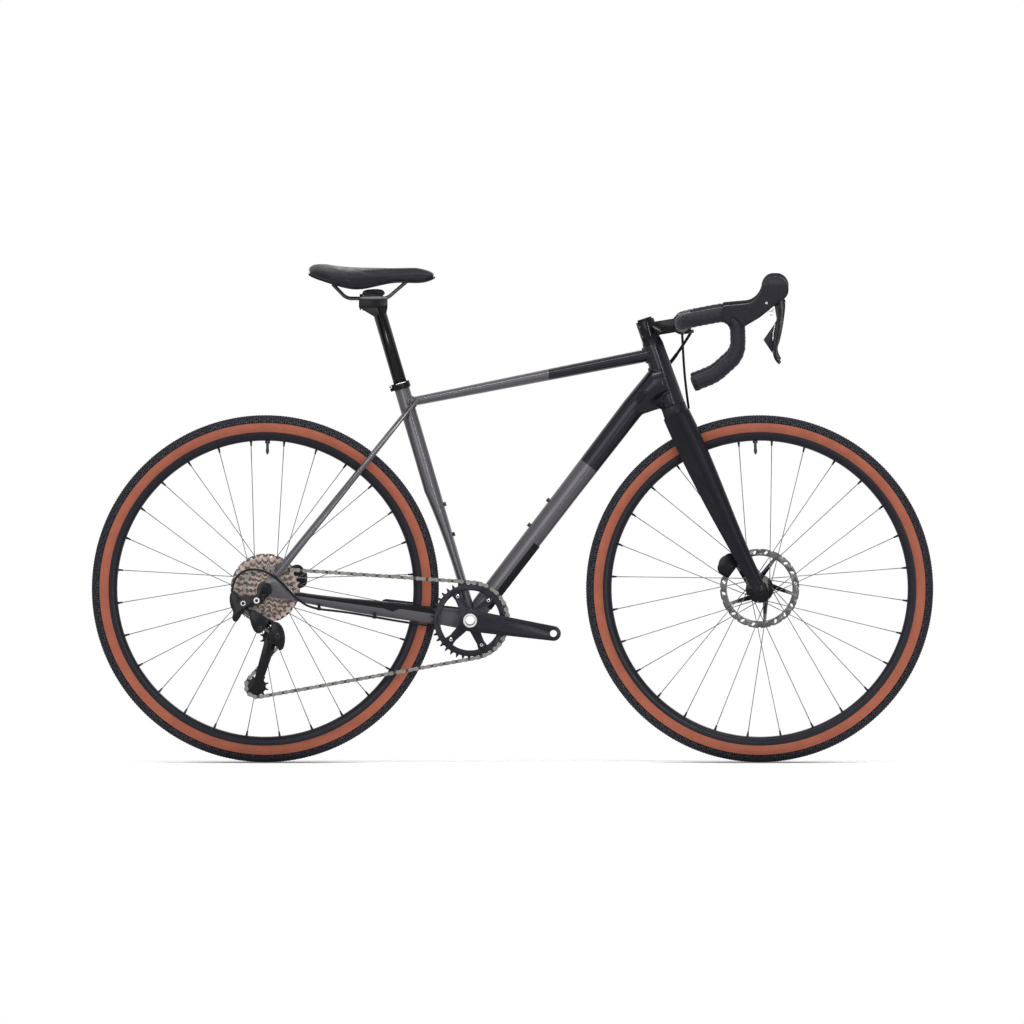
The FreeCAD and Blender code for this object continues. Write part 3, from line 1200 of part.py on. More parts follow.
def build_bar():
    """Drop bar, its tape and end plugs."""
    half_bulge = LEFT * (s.bar_bulge_length / 2)
    pieces = [cylinder("bar_clamp_radius", bar_middle - half_bulge, bar_middle + half_bulge),
              cylinder("bar_radius", bar_middle - LEFT * s.tape_start, bar_middle + LEFT * s.tape_start)]
    tapes = []
    for side in BOTH_SIDES:
        corners = bar_corners(side)
        wire = bar_path(side)
        inside = tube_along(wire, "bar_radius")
        pieces.append(tube_along(wire, "bar_radius"))
        tapes.append(cut(tube_along(wire, "tape_radius"), inside))
        ending = unit(corners[-1] - corners[-2])
        tapes.append(cylinder("tape_radius", corners[-1], corners[-1] + ending * s.plug_length))
    node("handlebar", fuse(*pieces))
    node("bar_tape", group(*tapes))


def share_points(shares, kind, across):
    """Points of an outline given in shares of the hood's or lever's box ahead of the bar's middle."""
    corner = bar_middle + V(getattr(s, kind + "_back"), across, getattr(s, kind + "_low"))
    length = getattr(s, kind + "_length")
    height = getattr(s, kind + "_height")

    def at(share):
        return corner + V(length * share[0], 0, height * share[1])

    return [tuple(at(share) for share in item) if isinstance(item[0], tuple) else at(item) for item in shares]


def hood_front(across):
    """Outline of a hood seen from the front, drawn in towards its domed top."""
    corner = bar_middle + V(s.hood_back, across, s.hood_low)

    def at(share):
        return corner + V(0, s.hood_width * share[0], s.hood_height * share[1])

    return [tuple(at(share) for share in item) if isinstance(item[0], tuple) else at(item)
            for item in HOOD_FRONT_SHARES]


def build_levers():
    """Hoods, brake levers with their pivots, and the shift paddle."""
    hoods = []
    for side, word in ((RIGHT_SIDE, "right"), (LEFT_SIDE, "left")):
        across = side * s.hood_offset
        half = LEFT * (s.hood_width / 2)
        body = plate(share_points(HOOD_SHARES, "hood", across - s.hood_width / 2), LEFT, "hood_width")
        dome = plate(hood_front(across), FORWARD, "hood_length")
        room = plate(share_points(SLOT_SHARES, "hood", across - s.hood_slot / 2), LEFT, "hood_slot")
        bar = tube_along(bar_path(side), "tape_radius")
        pivot = share_points(LEVER_PIVOT_SHARES, "lever", across)[0]
        pin = cylinder("lever_pivot_radius", pivot - half, pivot + half)
        hoods.append(fuse(cut(common(body, dome), room, bar), pin))
        blade = plate(share_points(LEVER_SHARES, "lever", across - s.lever_width / 2), LEFT, "lever_width")
        half_blade = LEFT * (s.lever_width / 2)
        eye = cylinder("lever_eye_radius", pivot - half_blade, pivot + half_blade)
        hole = cylinder("lever_pivot_radius + running_clearance", pivot - half, pivot + half)
        node(f"brake_lever_{word}", cut(fuse(blade, eye), hole))
    node("lever_hoods", group(*hoods))
    paddle_across = -s.hood_offset + s.lever_width / 2 + s.paddle_gap
    node("shift_paddle", plate(share_points(PADDLE_SHARES, "lever", paddle_across), LEFT, "paddle_thickness"))


def caliper(axle, offset, radius_name, outward, keep_off):
    """Brake caliper astride a rotor's edge."""
    radius = getattr(s, radius_name)
    spot = axle + LEFT * offset
    foot = spot + outward * (radius - s.caliper_rotor_reach) - LEFT * (s.caliper_width / 2)
    along = turned(outward, LEFT, 90) * s.caliper_length
    rise = outward * s.caliper_height

    def at(share):
        return foot + along * share[0] + rise * share[1]

    housing = plate([tuple(at(share) for share in item) if isinstance(item[0], tuple) else at(item)
                     for item in CALIPER_SHARES], LEFT, "caliper_width")
    cap_start = at(PISTON_SHARE) + LEFT * s.caliper_width
    cap = cylinder("piston_cap_radius", cap_start, cap_start + LEFT * s.piston_cap_height)
    body = fuse(housing, cap)
    half_slot = LEFT * (s.caliper_slot / 2)
    slot = cylinder(f"{radius_name} + caliper_slot", spot - half_slot, spot + half_slot)
    return cut(body, slot, *keep_off)


def build_calipers(legs):
    """Brake calipers over the two rotors."""
    front_way = turned(-FORWARD, LEFT, s.front_caliper_lift)
    rear_way = turned(FORWARD, LEFT, -s.rear_caliper_lift)
    front_body = caliper(front_axle, s.front_rotor_offset, "front_rotor_radius", front_way, legs[1:])
    node("front_brake_caliper", front_body)
    stays = [chainstay(LEFT_SIDE), seatstay(LEFT_SIDE)]
    node("rear_brake_caliper", caliper(rear_axle, s.rear_rotor_offset, "rear_rotor_radius", rear_way, stays))


def between(start, end, shares):
    """Points of a hose, given as shares of the way from its start to its end along each axis."""
    way = end - start
    inside = [start + V(way.x * x, way.y * y, way.z * z) for x, y, z in shares]
    return [start] + inside + [end]


def build_hoses(left_leg):
    """Brake hose into the left fork leg, bundle to the down tube, and the shift housing."""
    hose_start = bar_middle + V(0, s.hose_spread, -s.bar_clamp_radius - s.hose_radius)
    crown_side = head_low - steer_up * (s.crown_height / 2) + LEFT * s.leg_top_offset
    hose_end = crown_side + steer_forward * (s.leg_top_depth / 2)
    front_hose = cord_path(between(hose_start, hose_end, FRONT_HOSE_SHARES))
    node("front_brake_hose", cut(tube_along(front_hose, "hose_radius"), left_leg))
    bundle_start = bar_middle + V(s.bundle_ahead, -s.hose_radius, -s.bundle_ahead)
    port = down_tube_at(s.port_share) + LEFT * (s.down_tube_top_width / 2 + s.bundle_lift)
    bundle = cord_path(between(bundle_start, port, BUNDLE_SHARES))
    node("bar_cables", tube_along(bundle, "bundle_radius"))
    stay_end = chainstay_rows(RIGHT_SIDE)[-2][2]
    housing_start = stay_end - LEFT * (s.chainstay_end_width / 2 + s.hose_radius)
    housing_end = rear_axle + V(-s.housing_end_back, -s.link_outboard, -s.housing_end_drop)
    housing = cord_path(between(housing_start, housing_end, HOUSING_SHARES))
    node("rear_shift_housing", tube_along(housing, "hose_radius"))


# Drivetrain


def build_crankset():
    """Crank arms, spider, spindle and chainring."""
    end = s.crank_inner_face + s.crank_thickness
    right = crank_arm(RIGHT_SIDE, crank_along)
    spindle = ring("spindle_radius", "spindle_bore", bb - LEFT * end, bb + LEFT * end)
    right_bore = cylinder("spindle_radius", bb - LEFT * (end + s.overrun), bb)
    spider = [cylinder("crank_root_radius", bb - LEFT * s.crank_hub_face, bb - LEFT * s.crank_inner_face)]
    spider_back = bb - LEFT * (s.chain_line + s.ring_thickness / 2 + s.spider_thickness)
    for lean in (s.spider_lean_front, s.spider_lean_back):
        for sense in (-1, 1):
            spoke = turned(crank_along, LEFT, sense * lean)
            beside = turned(spoke, LEFT, 90) * (s.spider_arm_width / 2)
            tip = spider_back + spoke * s.spider_radius
            root = beside * SPIDER_ROOT_SHARE
            points = [spider_back - root, spider_back + root, tip + beside,
                      (tip + spoke * (s.spider_arm_width / 2), tip - beside)]
            spider.append(plate(points, LEFT, "spider_thickness"))
    node("crank_arm_right", group(cut(fuse(right, *spider), right_bore), spindle))
    left_bore = cylinder("spindle_radius", bb, bb + LEFT * (end + s.overrun))
    left_hub = cylinder("crank_root_radius", bb + LEFT * s.crank_hub_face, bb + LEFT * s.crank_inner_face)
    node("crank_arm_left", cut(fuse(crank_arm(LEFT_SIDE, -crank_along), left_hub), left_bore))

    ring_face = bb - LEFT * (s.chain_line + s.ring_thickness / 2)
    teeth = int(s.ring_teeth)
    first_pin = nearest_pin(chain_line.ring)
    blank = plate(sprocket_points(teeth, ring_face, first_pin, s.tooth_tip), LEFT, "ring_thickness")
    doc.recompute()
    hole = cylinder("chain_pitch * ring_teeth / (2 * pi) - ring_band", ring_face - LEFT * s.overrun,
                    ring_face + LEFT * (s.ring_thickness + s.overrun))
    tabs = []
    for lean in (s.spider_lean_front, s.spider_lean_back):
        for sense in (-1, 1):
            spoke = turned(crank_along, LEFT, sense * lean)
            beside = turned(spoke, LEFT, 90) * (s.spider_arm_width / 2)
            tip = ring_face + spoke * (s.spider_radius - s.spider_arm_width / 2)
            outer = ring_face + spoke * (pitch_radius(teeth) - s.ring_band / 2)
            root = beside * RING_TAB_SHARE
            points = [tip - beside, tip + beside, outer + root, outer - root]
            tabs.append(plate(points, LEFT, "ring_thickness"))
    node("chainring", fuse(cut(blank, hole), *tabs))


def crank_arm(side, along):
    """Crank arm: wide at the spindle, with a threaded eye for the pedal."""
    outward = LEFT * side
    start = bb + outward * s.crank_inner_face
    eye = start + along * s.crank_length
    beside = turned(along, LEFT, 90)
    root = s.crank_root_radius
    small = s.crank_eye_radius
    points = [start + beside * root, (start - along * root, start - beside * root), eye - beside * small,
              (eye + along * small, eye + beside * small)]
    body = plate(points, outward, "crank_thickness")
    hole = cylinder("pedal_thread_radius", eye - outward * s.overrun,
                    eye + outward * (s.crank_thickness + s.overrun))
    return cut(body, hole)


def link_plate(start, along, upward, low, thickness):
    """One side plate of a chain link, pinched at its two ends."""
    length = s.chain_pitch
    half = s.plate_height / 2
    corners = [(-s.plate_end, 0), (-s.plate_shoulder, half), (length + s.plate_shoulder, half),
               (length + s.plate_end, 0), (length + s.plate_shoulder, -half), (-s.plate_shoulder, -half)]
    points = [start + along * x + upward * z + LEFT * low for x, z in corners]
    return Part.Face(Part.makePolygon(points + points[:1])).extrude(LEFT * thickness)


def roller(centre):
    """Six-sided roller between two inner plates."""
    corners = [centre + turned(UP, LEFT, 60 * turn) * s.roller_radius - LEFT * s.roller_half_width
               for turn in range(7)]
    return Part.Face(Part.makePolygon(corners)).extrude(LEFT * (2 * s.roller_half_width))


def build_chain():
    """Inner and outer links in turn, closed round all four sprockets."""
    solids = []
    count = len(chain_pins)
    inner_low = s.roller_half_width
    outer_low = inner_low + s.inner_plate + s.plate_gap
    for index, start in enumerate(chain_pins):
        end = chain_pins[(index + 1) % count]
        along = unit(end - start)
        upward = turned(along, LEFT, 90)
        inner = index % 2 == 0
        low, thickness = (inner_low, s.inner_plate) if inner else (outer_low, s.outer_plate)
        solids.append(link_plate(start, along, upward, low, thickness))
        solids.append(link_plate(start, along, upward, -low - thickness, thickness))
        if inner:
            solids.append(roller(start))
            solids.append(roller(end))
    node("chain", shaped(Part.makeCompound(solids)))


def pulley(centre):
    """Toothed pulley with a hub and a bore."""
    face = centre - LEFT * (s.pulley_thickness / 2)
    first_pin = nearest_pin(centre)
    outline = sprocket_points(int(s.pulley_teeth), face, first_pin, s.tooth_tip)
    blank = plate(outline, LEFT, "pulley_thickness")
    half_hub = LEFT * (s.pulley_hub_width / 2)
    hub = cylinder("pulley_hub_radius", centre - half_hub, centre + half_hub)
    bore = cylinder("pulley_pin_radius + running_clearance", centre - half_hub * 2, centre + half_hub * 2)
    return cut(fuse(blank, hub), bore)


def cage():
    """Two plates that hold the pulleys between them, with the pulley pins."""
    guide = chain_line.guide
    tension = chain_line.tension
    along = unit(tension - guide)
    beside = turned(along, LEFT, 90)
    small = s.cage_width / 2
    big = s.cage_end_radius
    half_gap = s.cage_inside / 2
    pieces = []
    for low in (-half_gap - s.cage_plate, half_gap):
        lift = LEFT * low
        points = [guide + beside * big + lift, (guide - along * big + lift, guide - beside * big + lift),
                  tension - beside * small + lift,
                  (tension + along * small + lift, tension + beside * small + lift)]
        pieces.append(plate(points, LEFT, "cage_plate"))
    reach = LEFT * (half_gap + s.cage_plate)
    for centre in (guide, tension):
        pieces.append(cylinder("pulley_pin_radius", centre - reach, centre + reach))
    boss_end = LEFT * (s.boss_inner_face - s.chain_line + s.knuckle_boss_radius)
    pieces.append(cylinder("cage_pivot_radius", guide - reach, guide - boss_end))
    return fuse(*pieces)


def link_bar(start, end, axis):
    """Derailleur link: a bar with a bored barrel at each end."""
    half = axis * (s.link_barrel_length / 2)
    pieces = [block_between(start, end, axis)]
    bores = []
    for spot in (start, end):
        pieces.append(cylinder("link_barrel_radius", spot - half, spot + half))
        bores.append(cylinder("link_pin_radius + running_clearance", spot - half * 2, spot + half * 2))
    return cut(fuse(*pieces), *bores)


def block_between(start, end, axis):
    """Flat bar between two pivots."""
    along = unit(end - start)
    beside = along.cross(axis) * (s.link_bar_width / 2)
    low = axis * (-s.link_bar_height / 2)
    return plate([start + beside + low, start - beside + low, end - beside + low, end + beside + low], axis,
                 "link_bar_height")


def knuckle(pivots, back, axis):
    """Forked knuckle with two pins that the links turn on."""
    spread = pivots[1] - pivots[0]
    beside = unit(spread)
    radius = s.link_barrel_radius
    half_height = s.link_barrel_length / 2 + s.side_clearance
    behind = radius + s.knuckle_reach
    edge = back * (behind + s.knuckle_back)
    pieces = []
    for low in (half_height, -half_height - s.knuckle_ear):
        lift = axis * low
        points = [pivots[0] - beside * radius + lift, pivots[0] - beside * radius + edge + lift,
                  pivots[1] + beside * radius + edge + lift, pivots[1] + beside * radius + lift,
                  (pivots[1] - back * radius + lift, pivots[1] - beside * radius + lift),
                  pivots[0] + beside * radius + lift,
                  (pivots[0] - back * radius + lift, pivots[0] - beside * radius + lift)]
        pieces.append(plate(points, axis, "knuckle_ear"))
    lift = axis * (-half_height)
    inner = back * behind
    web = [pivots[0] - beside * radius + inner + lift, pivots[0] - beside * radius + edge + lift,
           pivots[1] + beside * radius + edge + lift, pivots[1] + beside * radius + inner + lift]
    pieces.append(plate(web, axis, "link_barrel_length + 2 * side_clearance"))
    reach = axis * (half_height + s.knuckle_ear)
    for spot in pivots:
        pieces.append(cylinder("link_pin_radius", spot - reach, spot + reach))
    return pieces


def build_derailleur():
    """Slant parallelogram, knuckles, cage and pulleys."""
    outer_start = rear_axle + V(-s.link_pivot_back, -s.link_outboard, -s.link_pivot_drop)
    reach = V(s.link_reach, s.link_inward, -s.link_fall)
    inward = turned(LEFT, FORWARD, -s.link_tilt)
    spread = inward * s.link_spread
    axis = unit(reach.cross(inward))
    forward = unit(reach - inward * reach.dot(inward))
    b_pivots = [outer_start, outer_start + spread]
    p_pivots = [outer_start + reach, outer_start + reach + spread]
    node("derailleur_outer_link", link_bar(b_pivots[0], p_pivots[0], axis))
    node("derailleur_inner_link", link_bar(b_pivots[1], p_pivots[1], axis))

    hanger_face = rear_axle - LEFT * (s.rear_hub_width / 2 + s.dropout_thickness + s.hanger_thickness)
    bolt = hanger_face + V(-s.hanger_bolt_back, 0, -s.hanger_bolt_drop)
    b_pieces = knuckle(b_pivots, -forward, axis)
    mount = cylinder("hanger_eye_radius", bolt, bolt - LEFT * s.hanger_bolt_head)
    behind = (b_pivots[0] + b_pivots[1]) / 2 - forward * (s.link_barrel_radius + s.knuckle_reach)
    back = b_pivots[0].x - s.link_barrel_radius - s.knuckle_gap
    end = behind.x - s.knuckle_back
    arm_top = bolt.z + s.hanger_eye_radius
    arm_low = bolt.z - s.knuckle_reach
    corners = ((bolt.x, arm_top), (bolt.x, arm_low), (back, arm_low), (back, behind.z - s.knuckle_reach),
               (end, behind.z - s.knuckle_reach), (end, arm_top - s.knuckle_back))
    arm = plate([V(x, bolt.y, z) for x, z in corners], -LEFT, "hanger_bolt_head")
    node("derailleur_b_knuckle", fuse(mount, arm, *b_pieces))

    p_pieces = knuckle(p_pivots, forward, axis)
    boss_start = V(guide_centre.x, -s.boss_inner_face, guide_centre.z)
    boss_end = V(guide_centre.x, p_pivots[0].y, guide_centre.z)
    boss = cylinder("knuckle_boss_radius", boss_start, boss_end)
    web_spot = (p_pivots[0] + p_pivots[1]) / 2
    web_spot = web_spot + forward * (s.link_barrel_radius + s.knuckle_reach + s.knuckle_back)
    neck = cylinder("knuckle_neck_radius", web_spot, V(guide_centre.x, web_spot.y, guide_centre.z))
    bore = cylinder("cage_pivot_radius + running_clearance", boss_start + LEFT * s.overrun,
                    boss_start - LEFT * (s.knuckle_boss_radius + s.overrun))
    node("derailleur_p_knuckle", cut(fuse(boss, neck, *p_pieces), bore))
    node("derailleur_cage", cage())
    node("guide_pulley", pulley(chain_line.guide))
    node("tension_pulley", pulley(chain_line.tension))


def main():
    """Build every sub-part, check it and write it to its own file."""
    build_wheels()
    build_frame()
    build_saddle()
    build_front_end()
    build_crankset()
    build_chain()
    build_derailleur()
    doc.recompute()
    faults = [obj.Label for obj in doc.Objects if "Invalid" in obj.State or "Error" in obj.State]
    for label, obj in NODES.items():
        if obj.Shape.isNull() or not obj.Shape.isValid() or not obj.Shape.Solids:
            faults.append(label)
    if faults:
        raise RuntimeError(f"failed objects: {faults}")
    os.makedirs("parts", exist_ok=True)
    for label, obj in NODES.items():
        obj.Shape.exportStep(f"parts/{label}.step")
    print(len(NODES), "sub-parts written")


main()
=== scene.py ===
"""Looks of a gravel bike: finishes, tyres, spokes, tape, hoods, saddle, chain, hoses and studio.

Metres, in the frame of the part: +X forward, +Y to the rider's left, +Z up, drive side on -Y.
"""
import json
import logging
import math
from dataclasses import dataclass, field
from enum import Enum
from typing import Callable, Sequence

import bmesh
import bpy
from mathutils import Matrix, Vector
from mathutils.bvhtree import BVHTree


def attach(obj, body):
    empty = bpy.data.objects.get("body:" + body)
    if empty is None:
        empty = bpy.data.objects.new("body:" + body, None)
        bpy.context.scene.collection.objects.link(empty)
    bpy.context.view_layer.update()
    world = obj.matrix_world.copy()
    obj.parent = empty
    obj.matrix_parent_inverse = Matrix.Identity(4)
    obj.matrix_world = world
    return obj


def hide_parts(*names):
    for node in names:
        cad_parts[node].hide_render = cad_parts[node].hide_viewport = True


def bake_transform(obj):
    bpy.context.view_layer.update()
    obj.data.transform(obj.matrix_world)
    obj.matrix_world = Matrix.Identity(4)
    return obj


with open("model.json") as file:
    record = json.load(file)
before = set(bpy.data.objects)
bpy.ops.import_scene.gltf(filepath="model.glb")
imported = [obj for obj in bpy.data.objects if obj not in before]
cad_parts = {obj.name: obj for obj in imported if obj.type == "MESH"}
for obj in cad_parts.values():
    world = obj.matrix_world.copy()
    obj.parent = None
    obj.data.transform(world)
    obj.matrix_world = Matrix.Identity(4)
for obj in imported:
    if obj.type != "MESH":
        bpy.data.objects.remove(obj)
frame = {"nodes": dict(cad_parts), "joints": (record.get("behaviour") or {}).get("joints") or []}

LOG = logging.getLogger("gravel_bike")
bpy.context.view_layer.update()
Point = tuple[float, float, float]
Rgb = tuple[int, int, int]
Outline = Sequence[tuple[float, float]]
Size = Callable[[float, float], float]
Socket = bpy.types.NodeSocket
Mesh = bpy.types.Mesh
Piece = bpy.types.Object
SHARP_DEGREES = 38.0
WHITE = (1.0, 1.0, 1.0, 1.0)


class Side(Enum):
    """Side of the bike, with its sign along Y."""

    RIGHT = -1
    LEFT = 1


class Run(Enum):
    """Run of the chain."""

    DRIVE = "drive"
    DROP = "drop"
    CAGE = "cage"
    AFT = "aft"
    FORE = "fore"


class Grain(Enum):
    """Fine relief of a surface."""

    SMOOTH = "smooth"
    CAST = "cast"
    BRUSHED = "brushed"
    PEBBLED = "pebbled"
    WOVEN = "woven"
    DOTTED = "dotted"


def linear(colour: Rgb) -> tuple[float, float, float, float]:
    """Linear RGBA of a colour given as 0 to 255."""
    shares = [part / 255 for part in colour]
    channels = [share / 12.92 if share <= 0.04045 else ((share + 0.055) / 1.055) ** 2.4 for share in shares]
    return (*channels, 1.0)


def joint_place(name: str) -> Vector:
    """Place of a joint of the part."""
    for joint in frame["joints"]:
        if joint["name"] == name:
            return Vector(joint["pos_m"])
    raise KeyError(name)


FRONT_AXLE = joint_place("front_wheel_spin")
REAR_AXLE = joint_place("rear_wheel_spin")
CRANK_CENTRE = joint_place("crank_spin")
BRACKET = Vector((CRANK_CENTRE.x, 0, CRANK_CENTRE.z))
HEAD_FOOT = Vector((0.323655, 0, 0.719789))
STEER_UP = Vector((-0.31730, 0, 0.94832))
SEAT_UP = Vector((-0.28234, 0, 0.95931))


# Finishes


class Nodes:
    """Node tree with short calls for its nodes."""

    def __init__(self, tree: bpy.types.NodeTree) -> None:
        """Take a tree and empty it.

        Args:
            tree: the node tree.
        """
        self.tree = tree
        tree.nodes.clear()

    def add(self, kind: str, inputs: dict | None = None, **settings: object) -> bpy.types.Node:
        """Add a node.

        Args:
            kind: class of the node.
            inputs: values or sockets to feed it, by name or number of the input.
            settings: properties to set on it.

        Returns:
            The node.
        """
        made = self.tree.nodes.new(kind)
        for key, value in settings.items():
            setattr(made, key, value)
        for key, value in (inputs or {}).items():
            self.feed(made.inputs[key], value)
        return made

    def feed(self, target: Socket, value: object) -> None:
        """Link a socket to another, or set its value."""
        if isinstance(value, Socket):
            self.tree.links.new(value, target)
        else:
            target.default_value = value

    def maths(self, operation: str, first: object, second: object = 0.0) -> Socket:
        """Result of a sum on two numbers or sockets."""
        return self.add("ShaderNodeMath", {0: first, 1: second}, operation=operation).outputs[0]

    def vector(self, operation: str, first: object, second: object = (0.0, 0.0, 0.0)) -> Socket:
        """Result of a sum on two vectors, as a number where it is one."""
        made = self.add("ShaderNodeVectorMath", {0: first, 1: second}, operation=operation)
        return made.outputs["Value" if operation in ("DOT_PRODUCT", "LENGTH") else "Vector"]


class Shader(Nodes):
    """Node tree of one material with a principled surface."""

    def __init__(self, name: str) -> None:
        """Start a material.

        Args:
            name: name of the material.
        """
        self.material = bpy.data.materials.new(name)
        self.material.use_nodes = True
        super().__init__(self.material.node_tree)
        self.surface = self.add("ShaderNodeBsdfPrincipled")
        self.add("ShaderNodeOutputMaterial", {"Surface": self.surface.outputs["BSDF"]})
        coords = self.add("ShaderNodeTexCoord").outputs
        self.place, self.sheet = coords["Object"], coords["UV"]

    def parts(self, source: Socket) -> bpy.types.NodeOutputs:
        """X, Y and Z of a vector."""
        return self.add("ShaderNodeSeparateXYZ", {0: source}).outputs

    def noise(self, scale: float, detail: float = 3.0, space: object = None) -> Socket:
        """Soft noise on the piece's own coordinates."""
        inputs = {"Vector": space or self.place, "Scale": scale, "Detail": detail}
        return self.add("ShaderNodeTexNoise", inputs).outputs["Fac"]

    def cells(self, scale: float, space: Socket) -> Socket:
        """Distance to the middle of the nearest cell."""
        return self.add("ShaderNodeTexVoronoi", {"Vector": space, "Scale": scale}).outputs["Distance"]

    def mapped(self, space: Socket, **change: Point) -> Socket:
        """Coordinates scaled or turned."""
        inputs = {"Vector": space, **{word.capitalize(): value for word, value in change.items()}}
        return self.add("ShaderNodeMapping", inputs).outputs["Vector"]

    def ramp(self, source: Socket, stops: Sequence[tuple[float, tuple]]) -> Socket:
        """Colour of a source along a row of stops."""
        made = self.add("ShaderNodeValToRGB", {"Fac": source})
        row = made.color_ramp.elements
        while len(row) < len(stops):
            row.new(0.5)
        for element, (place, colour) in zip(row, stops):
            element.position = place
            element.color = colour
        return made.outputs["Color"]

    def span(self, source: Socket, low: float, high: float) -> Socket:
        """Source from 0.3 to 0.7 spread from low to high."""
        inputs = {"Value": source, "From Min": 0.3, "From Max": 0.7, "To Min": low, "To Max": high}
        return self.add("ShaderNodeMapRange", inputs).outputs["Result"]

    def blend(self, share: object, first: object, second: object) -> Socket:
        """Mix of two colours."""
        made = self.add("ShaderNodeMix", {"Factor": share, 6: first, 7: second}, data_type="RGBA")
        return made.outputs[2]

    def relief(self, height: Socket, depth: float) -> None:
        """Give the surface a bump of a depth in metres."""
        made = self.add("ShaderNodeBump", {"Strength": 1.0, "Distance": depth, "Height": height})
        self.feed(self.surface.inputs["Normal"], made.outputs["Normal"])


MADE: dict[str, bpy.types.Material] = {}
BRUSH_STRETCH: Point = (0.06, 1.0, 1.0)


@dataclass(frozen=True)
class Finish:
    """One surface: its colour, how it wanders, its gloss and its grain."""

    name: str
    colour: Rgb
    roughness: float
    metallic: float = 0.0
    specular: float = 0.3
    coat: float = 0.0
    coat_roughness: float = 0.12
    sheen: float = 0.0
    tone_spread: float = 0.10
    tone_scale: float = 18.0
    grain: Grain = Grain.SMOOTH
    grain_scale: float = 900.0
    grain_depth: float = 0.00004

    def tone(self, shader: Shader, colour: Rgb) -> Socket:
        """Colour that wanders a little over the surface."""
        base = linear(colour)
        dark = tuple(part * (1 - self.tone_spread) for part in base[:3]) + (1.0,)
        pale = tuple(min(1.0, part * (1 + self.tone_spread)) for part in base[:3]) + (1.0,)
        return shader.ramp(shader.noise(self.tone_scale, 4.0), ((0.35, dark), (0.65, pale)))

    def colour_socket(self, shader: Shader) -> Socket:
        """Colour of the whole surface."""
        return self.tone(shader, self.colour)

    def grain_socket(self, shader: Shader) -> Socket:
        """Height of the grain."""
        if self.grain is Grain.PEBBLED:
            return shader.cells(self.grain_scale, shader.place)
        if self.grain is Grain.BRUSHED:
            return shader.noise(self.grain_scale, 2.0, shader.mapped(shader.place, scale=BRUSH_STRETCH))
        if self.grain is Grain.WOVEN:
            return self.weave(shader)
        if self.grain is Grain.DOTTED:
            return shader.cells(self.grain_scale, shader.sheet)
        return shader.noise(self.grain_scale, 5.0 if self.grain is Grain.CAST else 2.0)

    def weave(self, shader: Shader) -> Socket:
        """Threads that cross at an angle, on the piece's own UV map."""
        heights = []
        for turn in (45, -45):
            space = shader.mapped(shader.sheet, rotation=(0, 0, math.radians(turn)))
            wave = shader.add("ShaderNodeTexWave", {"Scale": self.grain_scale, "Vector": space})
            heights.append(wave.outputs["Fac"])
        return shader.maths("MAXIMUM", *heights)

    def material(self) -> bpy.types.Material:
        """Material of this finish, made once."""
        if self.name in MADE:
            return MADE[self.name]
        shader = Shader(self.name)
        inputs = shader.surface.inputs
        for name, value in (("Base Color", self.colour_socket(shader)), ("Metallic", self.metallic),
                            ("Specular IOR Level", self.specular), ("Coat Weight", self.coat),
                            ("Coat Roughness", self.coat_roughness), ("Sheen Weight", self.sheen)):
            shader.feed(inputs[name], value)
        low, high = self.roughness * 0.85, min(1.0, self.roughness * 1.15)
        shader.feed(inputs["Roughness"], shader.span(shader.noise(self.tone_scale * 5), low, high))
        shader.relief(self.grain_socket(shader), self.grain_depth)
        MADE[self.name] = shader.material
        return shader.material


@dataclass(frozen=True)
class PairedFinish(Finish):
    """Finish that changes between two colours."""

    other: Rgb = (0, 0, 0)

    def share(self, shader: Shader) -> Socket:
        """Share of the other colour."""
        raise NotImplementedError

    def colour_socket(self, shader: Shader) -> Socket:
        """Mix of both colours."""
        return shader.blend(self.share(shader), self.tone(shader, self.colour), self.tone(shader, self.other))


@dataclass(frozen=True)
class TwoTonePaint(PairedFinish):
    """Paint that changes colour at a plane across a tube."""

    heading: Point = (1.0, 0.0, 0.0)
    change_at: float = 0.0

    def share(self, shader: Shader) -> Socket:
        """One ahead of the plane."""
        reach = shader.vector("DOT_PRODUCT", shader.place, self.heading)
        return shader.maths("GREATER_THAN", reach, self.change_at)


@dataclass(frozen=True)
class RotorSteel(PairedFinish):
    """Brake disc: bare steel band on a dark carrier."""

    axle: Point = (0.0, 0.0, 0.0)
    carrier_radius: float = 0.05

    def share(self, shader: Shader) -> Socket:
        """One on the carrier, inside a radius."""
        arm = shader.vector("SUBTRACT", shader.place, self.axle)
        reach = shader.vector("LENGTH", shader.vector("MULTIPLY", arm, (1.0, 0.0, 1.0)))
        return shader.maths("LESS_THAN", reach, self.carrier_radius)


@dataclass(frozen=True)
class GuardedPaint(PairedFinish):
    """Paint with a black guard above a line along a stay, on the drive side."""

    edge: Outline = ((0.0, 0.0), (1.0, 0.0))

    def share(self, shader: Shader) -> Socket:
        """One on the guard, above the line."""
        x, y, z = shader.parts(shader.place)
        first, last = self.edge[0][0], self.edge[-1][0]
        low, high = min(level for _, level in self.edge), max(level for _, level in self.edge)
        along = shader.maths("DIVIDE", shader.maths("SUBTRACT", x, first), last - first)
        stops = []
        for place, level in self.edge:
            share = (level - low) / (high - low)
            stops.append(((place - first) / (last - first), (share, share, share, 1.0)))
        rise = shader.maths("MULTIPLY", shader.ramp(along, stops), high - low)
        above = shader.maths("GREATER_THAN", z, shader.maths("ADD", rise, low))
        for value, limit, operation in ((y, 0.0, "LESS_THAN"), (along, 0.0, "GREATER_THAN"),
                                        (along, 1.0, "LESS_THAN")):
            above = shader.maths("MULTIPLY", above, shader.maths(operation, value, limit))
        return above


